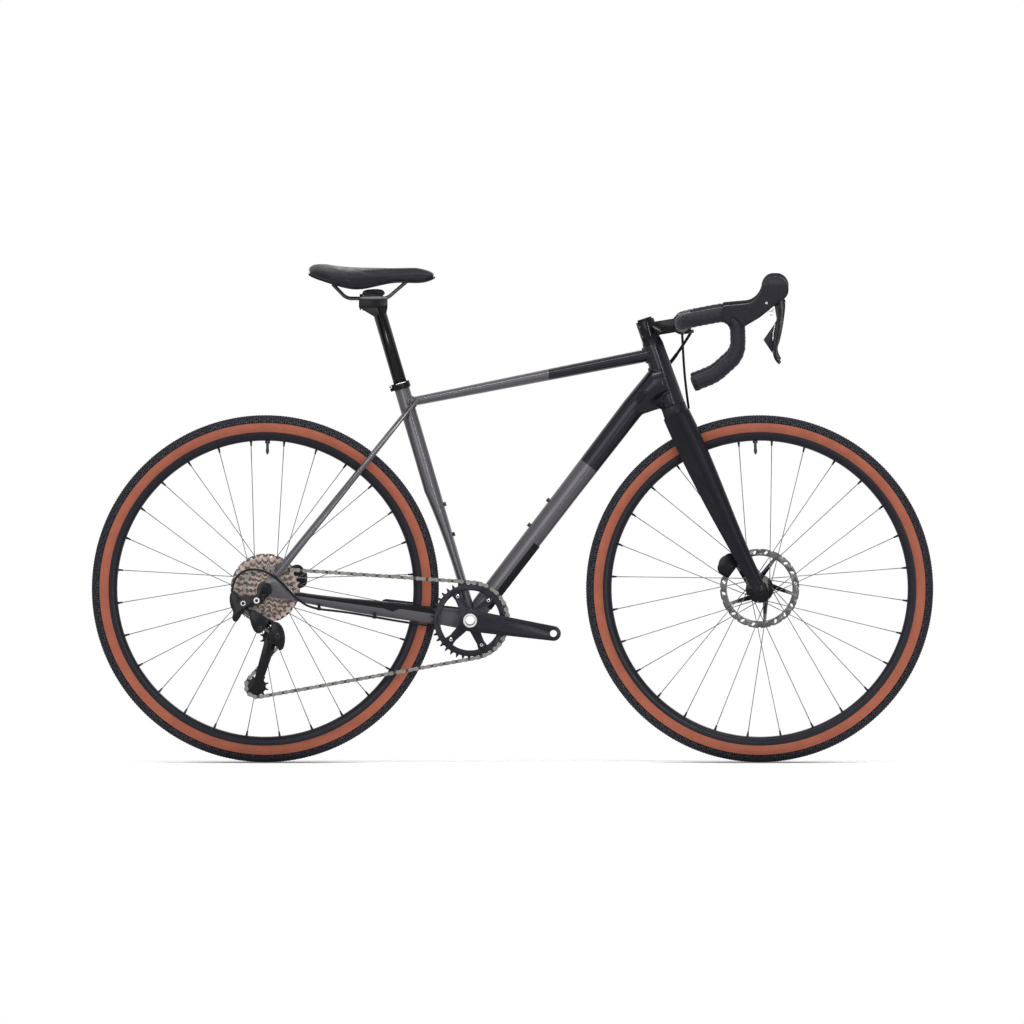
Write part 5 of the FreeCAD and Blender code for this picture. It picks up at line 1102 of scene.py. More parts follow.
@dataclass
class Frame:
    """Painted tubes, stays and the small pieces that stay on them."""

    body: str = "frame"
    painted: dict[str, Finish] = field(default_factory=lambda: {
        "head_tube": BLACK_PAINT, "top_tube": TOP_TUBE_PAINT, "down_tube": DOWN_TUBE_PAINT,
        "seat_tube": GREY_PAINT, "bottom_bracket_shell": GREY_PAINT, "chainstays": STAY_PAINT,
        "seatstays": GREY_PAINT, "rear_dropouts": GREY_PAINT})
    fittings: dict[str, Finish] = field(default_factory=lambda: {
        "derailleur_hanger": MECH, "seat_clamp": ALLOY, "bottom_bracket_cups": ALLOY,
        "headset_bearings": BOLT_STEEL, "rear_thru_axle": ALLOY, "rear_brake_caliper": MECH,
        "frame_covers": RUBBER, "bottle_bolts": BOLT_STEEL})
    port_half_length: float = 0.0088
    clip_half: float = 0.0035
    collar_radius: float = 0.0186
    collar_line_rise: float = 0.0005
    tube_voxel: float = 0.0021
    head_reach: float = 0.0255
    shell_reach: float = 0.024
    crease_fade: float = 0.012
    stay_head: tuple[float, float] = (-0.1824, 0.7358)
    stay_head_slope: float = 0.235
    stay_head_back: float = -0.222
    weld_gap: float = 0.00012
    bead_spacing: float = 0.0012
    bead_step: float = 0.0011
    bead_radius: float = 0.0031
    bead_ripple: float = 0.0005
    bead_pitch: float = 0.0045
    port_middle: Point = (0.2600, 0.0, 0.7372)
    port_radius: float = 0.0052
    plug_share: float = 0.82

    def build(self) -> None:
        """Dress the tubes and fittings."""
        for node, finish in self.painted.items():
            slot = "frame_black" if node == "head_tube" else "frame_grey"
            piece = Skin(node, self.body, slot, finish, 0.0005).build()
            if node == "seatstays":
                self.flatten_stay_heads(piece)
            if node == "down_tube":
                self.blend_creases(piece)
        for node, finish in self.fittings.items():
            Skin(node, self.body, "black_alloy", finish, 0.0006).build()
        self.build_welds()
        self.build_port()
        self.build_clips()
        self.build_collar()

    def flatten_stay_heads(self, piece: Piece) -> None:
        """Press the stays' heads down to the top tube's upper line."""
        for vertex in piece.data.vertices:
            level = self.stay_head[1] + self.stay_head_slope * (vertex.co.x - self.stay_head[0])
            if vertex.co.x > self.stay_head_back and vertex.co.z > level:
                vertex.co.z = level

    def blend_creases(self, piece: Piece) -> None:
        """Round the down tube's creases, but not where it meets the head tube and the bracket shell."""
        modified(piece, "even", "REMESH", mode="VOXEL", voxel_size=self.tube_voxel)
        settled(piece)
        group = piece.vertex_groups.new(name="soft")
        for vertex in piece.data.vertices:
            arm = vertex.co - HEAD_FOOT
            from_head = (arm - STEER_UP * arm.dot(STEER_UP)).length - self.head_reach
            from_shell = math.hypot(vertex.co.x - BRACKET.x, vertex.co.z - BRACKET.z) - self.shell_reach
            share = min(1.0, max(0.0, min(from_head, from_shell) / self.crease_fade))
            group.add([vertex.index], share, "REPLACE")
        modified(piece, "eased", "SMOOTH", factor=0.6, iterations=26, vertex_group=group.name)
        settled(piece)
        piece.vertex_groups.clear()
        smooth(piece.data, 50.0)

    def build_clips(self) -> None:
        """Clips that hold the shift housing under the stay."""
        for number, (x, y, z) in enumerate(CLIP_PLACES):
            heading = Vector((-1.0, -0.17, 0.17)).normalized() * self.clip_half
            line = [Vector((x, y, z)) + heading * share for share in (-1.0, -0.8, 0.8, 1.0)]
            rod(f"housing_clip_{number}", line, 0.0036, 20, PLASTIC, self.body, "plastic")
            tab = ((x - 0.003, z), (x + 0.003, z), (x + 0.003, z + 0.010), (x - 0.003, z + 0.010))
            Slab(f"housing_tab_{number}", self.body, "plastic", PLASTIC, tab, y - 0.0015, y + 0.0015,
                 0.0005).build()

    def build_collar(self) -> None:
        """Bright slot line and bolt of the seat collar."""
        ahead = Vector((SEAT_UP.z, 0, -SEAT_UP.x))
        middle = Vector((-0.2258, 0, 0.7638)) + SEAT_UP * self.collar_line_rise
        arc = []
        for step in range(25):
            turn = math.radians(-28 + 62 * step / 24)
            arm = ahead * math.sin(turn) - Vector((0, 1, 0)) * math.cos(turn)
            arc.append(middle + arm * self.collar_radius)
        rod("collar_line", arc, 0.0012, 10, SILVER, self.body, "steel")
        Bolt("collar_bolt", self.body, (-0.2462, -0.0095, 0.7565), 0.0036, SILVER, 0.0030).build()

    def weld(self, node: str, foot: Vector, axis: Vector, low_radius: float, slope: float,
             finish: Finish) -> None:
        """Bead along the line where a tube meets a round one.

        Args:
            node: the tube that ends there.
            foot: foot of the round tube's axis.
            axis: its direction.
            low_radius: its radius at the foot.
            slope: change of its radius along the axis.
            finish: paint of the bead.
        """
        ring: list[tuple[float, float, Vector]] = []
        side = axis.cross(Vector((0, 1, 0))).normalized()
        across = axis.cross(side)
        for vertex in frame["nodes"][node].data.vertices:
            arm = vertex.co - foot
            height = arm.dot(axis)
            radius = low_radius + slope * height
            flat = arm - axis * height
            if abs(flat.length - radius) < self.weld_gap and height > 0:
                turn = math.atan2(flat.dot(across), flat.dot(side))
                ring.append((turn * radius, height, vertex.co.copy()))
        if len(ring) < 8:
            return
        middle_u = sum(item[0] for item in ring) / len(ring)
        middle_v = sum(item[1] for item in ring) / len(ring)
        ring.sort(key=lambda item: math.atan2(item[1] - middle_v, item[0] - middle_u))
        line: list[Vector] = []
        for _, _, spot in ring:
            if not line or (spot - line[-1]).length > self.bead_spacing:
                line.append(spot)
        even = evened([*line, line[0]], self.bead_step)[:-1]

        def ripple(travel: float, _: float) -> float:
            """Small waves along the bead."""
            return self.bead_radius + self.bead_ripple * math.cos(2 * math.pi * travel / self.bead_pitch)

        name = f"{node}_weld_{round(1000 * foot.x)}"
        rod(name, even, ripple, 10, finish, self.body, "frame_black", sharp_degrees=80.0, closed=True)

    def build_welds(self) -> None:
        """Beads where the tubes meet the head tube and the seat tube."""
        for node in ("down_tube", "top_tube"):
            self.weld(node, HEAD_FOOT, STEER_UP, low_radius=0.0245, slope=-0.0035 / 0.130, finish=BLACK_PAINT)
        for node in ("top_tube", "seatstays"):
            self.weld(node, BRACKET, SEAT_UP, low_radius=0.0155, slope=0.0, finish=GREY_PAINT)

    def build_port(self) -> None:
        """Oval rubber plug in its rim, where the cables go into the down tube."""
        heading = Vector(DOWN_TUBE_HEADING)
        upward = Vector((-heading.z, 0, heading.x))
        middle = Vector(self.port_middle)
        rim: list[Vector] = []
        for k in range(48):
            turn = 2 * math.pi * k / 48
            shift = self.port_half_length if math.cos(turn) > 0 else -self.port_half_length
            spot = middle + heading * (shift + self.port_radius * math.cos(turn))
            spot += upward * (self.port_radius * math.sin(turn))
            spot.y = side_face("down_tube", spot.x, spot.z) - 0.0003
            rim.append(spot)
        ring = evened([*rim, rim[0]], 0.001)[:-1]
        rod("port_rim", ring, 0.0011, 8, GLOSS_ALLOY, self.body, "rubber", sharp_degrees=60.0, closed=True)
        depth = sum(spot.y for spot in rim) / len(rim)
        plug = [middle + (spot - middle) * self.plug_share for spot in rim]
        Slab("port_plug", self.body, "rubber", RUBBER, [(spot.x, spot.z) for spot in plug], depth - 0.0012,
             depth + 0.003, 0.0005).build()


# Saddle


RAIL_GRIP = ((-0.3085, 0.9338), (-0.2512, 0.9338), (-0.2512, 0.9398), (-0.3085, 0.9398))
UPPER_YOKE = ((-0.3000, 0.9400), (-0.2600, 0.9400), (-0.2560, 0.9470), (-0.2640, 0.9545), (-0.2960, 0.9530),
              (-0.3040, 0.9470))


@dataclass
class Saddle:
    """Padded cover on its shell, rails, clamp and post."""

    body: str = "saddle_and_post"
    voxel: float = 0.004
    swell_limit: float = 0.003
    swell_frames: int = 20
    pressure: float = 4.0

    def build_cover(self) -> None:
        """Swell the cover like foam under a stretched skin."""
        made = softly_rounded("saddle_padding", "saddle_cover", self.voxel, factor=0.5, rounds=9)
        start = [vertex.co.copy() for vertex in made.data.vertices]
        self.swell(made, start)
        made.data.materials.append(SADDLE_SKIN.material())
        modified(made, "finer", "SUBSURF", levels=1, render_levels=1)
        settled(made)
        smooth(made.data, 80.0)
        finish_piece(made, self.body, "saddle_skin", "saddle_cover")

    def swell(self, made: Piece, start: list[Vector]) -> None:
        """Press the skin out from inside and keep each point near its start.

        Args:
            made: the cover.
            start: its points before.
        """
        cloth = made.modifiers.new("skin", "CLOTH")
        cloth.settings.use_pressure = True
        cloth.settings.uniform_pressure_force = self.pressure
        cloth.settings.effector_weights.gravity = 0.0
        cloth.settings.quality = 4
        scene = bpy.context.scene
        for number in range(1, self.swell_frames + 1):
            scene.frame_set(number)
        evaluated = made.evaluated_get(bpy.context.evaluated_depsgraph_get())
        moved = [vertex.co.copy() for vertex in evaluated.data.vertices]
        made.modifiers.clear()
        scene.frame_set(1)
        for vertex, old, new in zip(made.data.vertices, start, moved):
            way = new - old
            if way.length > self.swell_limit:
                way = way * (self.swell_limit / way.length)
            vertex.co = old + way

    def build(self) -> None:
        """Build the cover and dress the rest."""
        self.build_cover()
        for node, slot, finish, ease in (
                ("saddle_shell", "plastic", PLASTIC, 0.0010),
                ("saddle_rails", "rail_steel", RAIL_STEEL, 0.0),
                ("saddle_clamp", "black_alloy", ALLOY, 0.0012),
                ("seatpost", "black_alloy", GLOSS_ALLOY, 0.0)):
            Skin(node, self.body, slot, finish, ease).build()
        self.build_grips()

    def build_grips(self) -> None:
        """Rails where the clamp grips them, the upper yoke and the clamp's bolt."""
        for side in Side:
            Slab(f"rail_grip_{side.name.lower()}", self.body, "rail_steel", SPOKE_STEEL, RAIL_GRIP,
                 side.value * 0.0264, side.value * 0.0240, 0.0010).build()
        Slab("upper_yoke", self.body, "black_alloy", ALLOY, UPPER_YOKE, -0.0165, 0.0165, 0.0016).build()
        line = [Vector((-0.3030, 0.0, z)) for z in (0.9190, 0.9175, 0.9120, 0.9105)]
        rod("clamp_screw", line, 0.0042, 20, SILVER, self.body, "steel")


# Fork, stem and handlebar


def rounded_line(corners: Sequence[Vector], bends: Sequence[float], step: float) -> list[Vector]:
    """Even points along a bent bar.

    Args:
        corners: corners of the bar's middle line.
        bends: radius of the bend at each inner corner.
        step: distance between points.

    Returns:
        The points.
    """
    rough = [corners[0]]
    for before, corner, after, radius in zip(corners, corners[1:], corners[2:], bends):
        back, ahead = (before - corner).normalized(), (after - corner).normalized()
        half = (math.pi - back.angle(ahead)) / 2
        entry, leave = corner + back * (radius * math.tan(half)), corner + ahead * (radius * math.tan(half))
        middle = corner + (back + ahead).normalized() * (radius / math.cos(half))
        first, last = entry - middle, leave - middle
        axis = first.cross(last).normalized()
        for k in range(13):
            rough.append(middle + Matrix.Rotation(2 * half * k / 12, 3, axis) @ first)
    rough.append(corners[-1])
    return evened(rough, step)


PLUG_DOME = ((0.004, 1.0), (0.0075, 0.93), (math.inf, 0.72))
PADDLE_EDGE = ((0.5290, 0.8870), (0.5262, 0.8720), (0.5246, 0.8520))


@dataclass
class Cockpit:
    """Fork, stem, taped bar, hoods and levers."""

    body: str = "front_end"
    bar_middle: Vector = field(default_factory=lambda: Vector((0.34182, 0.0, 0.88351)))
    corners: tuple[Point, ...] = ((0.0, 0.052, 0.0), (0.0, 0.205, 0.008), (0.111, 0.213, 0.029),
                                  (0.113, 0.219, -0.058), (0.066, 0.227, -0.100), (0.026, 0.231, -0.116))
    bends: tuple[float, ...] = (0.042, 0.034, 0.048, 0.080)
    tape_inner: float = 0.0138
    tape_lap: float = 0.0021
    tape_pitch: float = 0.0125
    plug_radius: float = 0.0158
    band_radius: float = 0.01595
    hood_voxel: float = 0.0016
    pivot: tuple[float, float] = (0.5118, 0.9297)
    spring_middle: tuple[float, float] = (0.5205, 0.9105)
    pivot_stand: float = 0.0008
    spring_bend: float = 0.0052
    spring_across: float = 0.2215
    paddle_across: float = -0.2062

    def bar_line(self, side: Side, step: float) -> list[Vector]:
        """Points of one half of the bar, from the stem outward."""
        corners = [self.bar_middle + Vector((x, y * side.value, z)) for x, y, z in self.corners]
        return rounded_line(corners, self.bends, step)

    def build_tape(self) -> None:
        """Tape wound round both halves of the bar, with an end plug in each."""
        for side in Side:
            line = self.bar_line(side, 0.0016)

            def lap(travel: float, turn: float) -> float:
                """Radius that climbs over each lap and drops at its edge."""
                share = (travel / self.tape_pitch + side.value * turn / (2 * math.pi)) % 1.0
                edge = min(share / 0.12, 1.0)
                return self.tape_inner + self.tape_lap * edge * (1.0 - 0.55 * share)

            word = side.name.lower()
            nodes = ("bar_tape",) if side is Side.RIGHT else ()
            rod(f"tape_{word}", line, lap, 36, TAPE, self.body, "tape", *nodes, sharp_degrees=70.0)
            heading = (line[-1] - line[-2]).normalized()
            plug = [line[-1] + heading * reach for reach in (-0.002, 0.0, 0.0035, 0.005, 0.0058)]
            sizes = [(limit, self.plug_radius * share) for limit, share in PLUG_DOME]
            rod(f"bar_plug_{word}", plug, stepped(sizes), 32, PLASTIC, self.body, "plastic",
                sharp_degrees=50.0)
            rod(f"finish_band_{word}", line[:12], self.band_radius, 36, PLASTIC, self.body, "plastic",
                sharp_degrees=50.0)

    def build_hoods(self) -> None:
        """Soft hoods, rounded from their solids."""
        made = softly_rounded("hood_rubber", "lever_hoods", self.hood_voxel, factor=0.6, rounds=22)
        made.data.materials.append(HOOD_RUBBER.material())
        smooth(made.data, 80.0)
        finish_piece(made, self.body, "rubber", "lever_hoods")

    def build(self) -> None:
        """Dress the fork and stem, wind the tape and round the hoods."""
        for node, slot, finish, ease in (
                ("fork_crown", "fork_black", FORK_PAINT, 0.0015),
                ("fork_legs", "fork_black", FORK_PAINT, 0.0008),
                ("stem", "black_alloy", GLOSS_ALLOY, 0.0015),
                ("stem_faceplate", "black_alloy", GLOSS_ALLOY, 0.0012),
                ("stem_bolts", "steel", BOLT_STEEL, 0.0003),
                ("headset_spacers", "black_alloy", ALLOY, 0.0006),
                ("handlebar", "black_alloy", GLOSS_ALLOY, 0.0),
                ("front_thru_axle", "black_alloy", ALLOY, 0.0006),
                ("front_brake_caliper", "black_alloy", MECH, 0.0015)):
            Skin(node, self.body, slot, finish, ease).build()
        for side in Side:
            lever = f"brake_lever_{side.name.lower()}"
            Skin(lever, lever, "black_alloy", MECH, 0.0020).build()
        Skin("shift_paddle", "shift_paddle", "plastic", CRANK_ALLOY, 0.0006).build()
        self.build_tape()
        self.build_hoods()
        self.build_lever_fittings()

    def build_lever_fittings(self) -> None:
        """Pivot screws, springs and the paddle's bright edge."""
        x, z = self.pivot
        face = side_face("lever_hoods", x, z)
        for side in Side:
            word = side.name.lower()
            place = (x, side.value * -face + side.value * self.pivot_stand, z)
            Bolt(f"pivot_screw_{word}", self.body, place, 0.0026, SILVER, 0.003, 0.4, side.value).build()
            spring = []
            for k in range(25):
                turn = k / 24 * math.pi
                spring.append(Vector((self.spring_middle[0] + self.spring_bend * math.cos(turn),
                                      side.value * self.spring_across,
                                      self.spring_middle[1] - self.spring_bend * math.sin(turn))))
            rod(f"lever_spring_{word}", spring, 0.0016, 10, SILVER, self.body, "steel")
        edge = [Vector((along, self.paddle_across, height)) for along, height in PADDLE_EDGE]
        rod("paddle_edge", evened(edge, 0.002), 0.0009, 10, SILVER, "shift_paddle", "steel")


# Hoses


@dataclass
class Hose:
    """One hose from the object back into it, on a smooth line."""

    name: str
    node: str
    body: str
    route: tuple[Point, ...]
    radius: float
    sides: int = 16
    foot: str = ""
    sleeve_radius: float = 0.0
    sleeve_reach: tuple[float, float] = (0.42, 0.76)

    def curve(self) -> Piece:
        """Curve of one open spline through the route's reach."""
        data = bpy.data.curves.new(self.name, "CURVE")
        data.dimensions = "3D"
        data.resolution_u = 12
        spline = data.splines.new("NURBS")
        spline.points.add(len(self.route) - 1)
        for point, place in zip(spline.points, self.route):
            point.co = (*place, 1.0)
        spline.order_u = 3
        spline.use_endpoint_u = True
        return new_object(self.name, data)

    def line(self) -> list[Vector]:
        """Points read from the spline."""
        made = self.curve()
        bpy.context.view_layer.update()
        evaluated = made.evaluated_get(bpy.context.evaluated_depsgraph_get())
        mesh = bpy.data.meshes.new_from_object(evaluated)
        points = [vertex.co.copy() for vertex in mesh.vertices]
        bpy.data.objects.remove(made)
        return points

    def length(self, points: Sequence[Vector]) -> float:
        """Length along a row of points."""
        return sum((after - before).length for before, after in zip(points, points[1:]))

    def hang(self, name: str, points: Sequence[Vector], radius: float, finish: Finish) -> Piece:
        """Tube that rides on the body, or stays fixed where it is when the hose has a foot's body.

        Args:
            name: name of the piece.
            points: points of its middle line.
            radius: its radius.
            finish: its finish.

        Returns:
            The piece.
        """
        made = new_object(name, tube(name + "_mesh", points, radius, self.sides, finish))
        if not self.foot:
            return finish_piece(made, self.body, "plastic")
        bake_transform(made)
        return made

    def build(self) -> None:
        """Tube along the spline, with a sleeve where it has one."""
        points = self.line()
        made = self.hang(self.name, points, self.radius, HOSE)
        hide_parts(self.node)
        if self.sleeve_radius:
            first, last = (int(share * len(points)) for share in self.sleeve_reach)
            self.hang("bundle_sleeve", points[first:last], self.sleeve_radius, PLASTIC)


FRONT_HOSE = Hose("front_hose", "front_brake_hose", "front_end", (
    (0.3418, 0.024, 0.8651), (0.3448, 0.024, 0.8018), (0.3501, 0.035, 0.7491),
    (0.3551, 0.041, 0.7124)), 0.0025)
SHIFT_HOUSING = Hose("shift_housing", "rear_shift_housing", "frame", (
    (-0.1720, -0.0350, 0.2770), (-0.2200, -0.0470, 0.2835), (-0.2830, -0.0600, 0.2950),
    (-0.3416, -0.0705, 0.3050), (-0.4090, -0.0800, 0.3120), (-0.4400, -0.0850, 0.3360),
    (-0.4720, -0.0890, 0.3720), (-0.5020, -0.0930, 0.3890), (-0.5360, -0.0950, 0.3920),
    (-0.5640, -0.0970, 0.3700), (-0.5650, -0.0990, 0.3440)), 0.0023)
BUNDLE = Hose("bar_bundle", "bar_cables", "front_end", (
    (0.3593, -0.0025, 0.866), (0.3394, 0.0128, 0.8337), (0.3135, 0.0485, 0.7982),
    (0.2597, 0.0315, 0.7368)), 0.0030, foot="frame", sleeve_radius=0.0037)


# Drivetrain


SPINDLE_RING = ((0.0098, -0.0744), (0.0098, -0.0762), (0.0104, -0.0768), (0.0132, -0.0768), (0.0140, -0.0760),
                (0.0140, -0.0744))
COVERS = (
    ("b_knuckle_cover", "frame", -0.1068, -0.1024, (
        (-0.571, 0.338), (-0.564, 0.349), (-0.555, 0.345), (-0.551, 0.332), (-0.530, 0.336), (-0.508, 0.338),
        (-0.506, 0.324), (-0.526, 0.318), (-0.541, 0.311), (-0.549, 0.293), (-0.557, 0.283), (-0.566, 0.290),
        (-0.562, 0.306), (-0.569, 0.316))),
    ("link_cover", "derailleur_outer_link", -0.1100, -0.1030, (
        (-0.531, 0.303), (-0.522, 0.310), (-0.505, 0.300), (-0.493, 0.291), (-0.495, 0.275), (-0.508, 0.260),
        (-0.520, 0.264), (-0.528, 0.282))),
    ("p_knuckle_cover", "derailleur_p_knuckle", -0.1040, -0.0700, (
        (-0.486, 0.282), (-0.474, 0.286), (-0.462, 0.274), (-0.457, 0.252), (-0.461, 0.230), (-0.471, 0.226),
        (-0.476, 0.240), (-0.490, 0.240), (-0.488, 0.262))),
)
COVER_BOLTS = (
    Bolt("hanger_bolt", "frame", (-0.5158, -0.1086, 0.3280), 0.0066, SILVER, 0.004),
    Bolt("link_bolt", "frame", (-0.5430, -0.1086, 0.3222), 0.0056, SILVER, 0.004, 0.62),
    Bolt("rear_axle_head", "frame", (REAR_AXLE.x, -0.0895, REAR_AXLE.z), 0.0072, ALLOY, 0.003),
    Bolt("barrel_screw", "derailleur_outer_link", (-0.5085, -0.1106, 0.2720), 0.0048, BOLT_STEEL, 0.002),
    Bolt("cage_screw", "derailleur_p_knuckle", (-0.4735, -0.1050, 0.2560), 0.0060, BOLT_STEEL, 0.002),
)


@dataclass
class Drivetrain:
    """Cranks, chainring, cassette and derailleur."""

    pedal_eye: tuple[float, float] = (0.0825, 0.2610)
    ring_bolt_reach: float = 0.0545
    ring_bolt_face: float = -0.0529
    ring_bolt_leans: tuple[float, ...] = (56.0, -56.0, 126.0, -126.0)

    def build_spindle_end(self) -> None:
        """Bright ring round the open end of the spindle."""
        mesh = lathe("spindle_ring_mesh", SPINDLE_RING, BRACKET, 64, (SILVER,), (), 30.0)
        placed("spindle_ring", mesh, "crankset", "steel")

    def build_covers(self) -> None:
        """Thick covers of the derailleur's knuckles and link, with their bolts."""
        for name, body, outer, inner, outline in COVERS:
            Slab(name, body, "black_alloy", MECH, outline, outer, inner, 0.0018).build()
        for bolt in COVER_BOLTS:
            bolt.build()

    def build_ring_bolts(self) -> None:
        """Bright bolts at the tips of the spider's arms."""
        slope = math.atan2(self.pedal_eye[1] - CRANK_CENTRE.z, self.pedal_eye[0] - CRANK_CENTRE.x)
        for number, lean in enumerate(self.ring_bolt_leans):
            turn = slope + math.radians(lean)
            place = (CRANK_CENTRE.x + self.ring_bolt_reach * math.cos(turn), self.ring_bolt_face,
                     CRANK_CENTRE.z + self.ring_bolt_reach * math.sin(turn))
            Bolt(f"ring_bolt_{number}", "crankset", place, 0.0034, SILVER, 0.0012, 0.55).build()

    def build(self) -> None:
        """Dress the drive's pieces."""
        for node, body, slot, finish, ease in (
                ("crank_arm_right", "crankset", "black_alloy", CRANK_ALLOY, 0.0018),
                ("crank_arm_left", "crankset", "black_alloy", CRANK_ALLOY, 0.0018),
                ("chainring", "crankset", "black_alloy", CRANK_ALLOY, 0.0003),
                ("cassette", "cassette", "steel", COG_STEEL_PAINTED_SHADE, 0.0),
                ("derailleur_b_knuckle", "frame", "black_alloy", MECH, 0.0010),
                ("derailleur_outer_link", "derailleur_outer_link", "black_alloy", MECH, 0.0010),
                ("derailleur_inner_link", "derailleur_inner_link", "black_alloy", MECH, 0.0008),
                ("derailleur_p_knuckle", "derailleur_p_knuckle", "black_alloy", MECH, 0.0010),
                ("derailleur_cage", "derailleur_cage", "black_alloy", MECH, 0.0006),
                ("guide_pulley", "guide_pulley", "plastic", PLASTIC, 0.0003),
                ("tension_pulley", "tension_pulley", "plastic", PLASTIC, 0.0003)):
            Skin(node, body, slot, finish, ease).build()
        self.build_spindle_end()
        self.build_covers()
        self.build_ring_bolts()


class LinkTree(UnitTree):
    """Geometry nodes that set a unit on each pin or span of the chain."""

    def __init__(self) -> None:
        """Build the tree once."""
        super().__init__("along_the_chain", {"Unit": "Object", "Finish": "Material"})
        info = self.add("GeometryNodeObjectInfo", {"Object": self.start["Unit"]})
        turn = self.add("GeometryNodeInputNamedAttribute", {"Name": "turn"}, data_type="FLOAT")
        self.close(self.start["Geometry"], info.outputs["Geometry"], turn.outputs["Attribute"])

    def spread(self, name: str, spots: Sequence[tuple[Vector, float]], unit: Mesh,
               finish: Finish) -> Piece:
        """Set a unit on each spot.

        Args:
            name: name of the new piece.
            spots: place and turn about Y of each unit.
            unit: mesh of one unit.
            finish: finish of all of them.

        Returns:
            The piece as a plain mesh.
        """
        points = bpy.data.meshes.new(name + "_points")
        points.from_pydata([tuple(spot) for spot, _ in spots], [], [])
        turns = points.attributes.new("turn", "FLOAT", "POINT")
        turns.data.foreach_set("value", [turn for _, turn in spots])
        model = new_object(name + "_unit", unit)
        made = self.apply(new_object(name, points), 35.0, unit=model, finish=finish.material())
        bpy.data.objects.remove(model)
        return made


@dataclass(frozen=True)
class Bend:
    """Two bodies and two places listed for a run of the chain; only whether a run has one is used, and such a
    run stays fixed where it is.
    """

    near: str
    far: str
    start: Point
    end: Point


CHAIN_LINE = -0.046
RUN_BENDS = {
    Run.DROP: Bend("frame", "derailleur_outer_link",
                   (-0.470, CHAIN_LINE, 0.310), (-0.458, CHAIN_LINE, 0.226)),
    Run.CAGE: Bend("derailleur_p_knuckle", "derailleur_cage",
                   (-0.474, CHAIN_LINE, 0.246), (-0.500, CHAIN_LINE, 0.190)),
    Run.AFT: Bend("derailleur_p_knuckle", "derailleur_cage",
                   (-0.250, CHAIN_LINE, 0.180), (-0.511, CHAIN_LINE, 0.132)),
    Run.FORE: Bend("frame", "derailleur_outer_link",
                   (-0.110, CHAIN_LINE, 0.206), (-0.6228, CHAIN_LINE, 0.1104)),
}


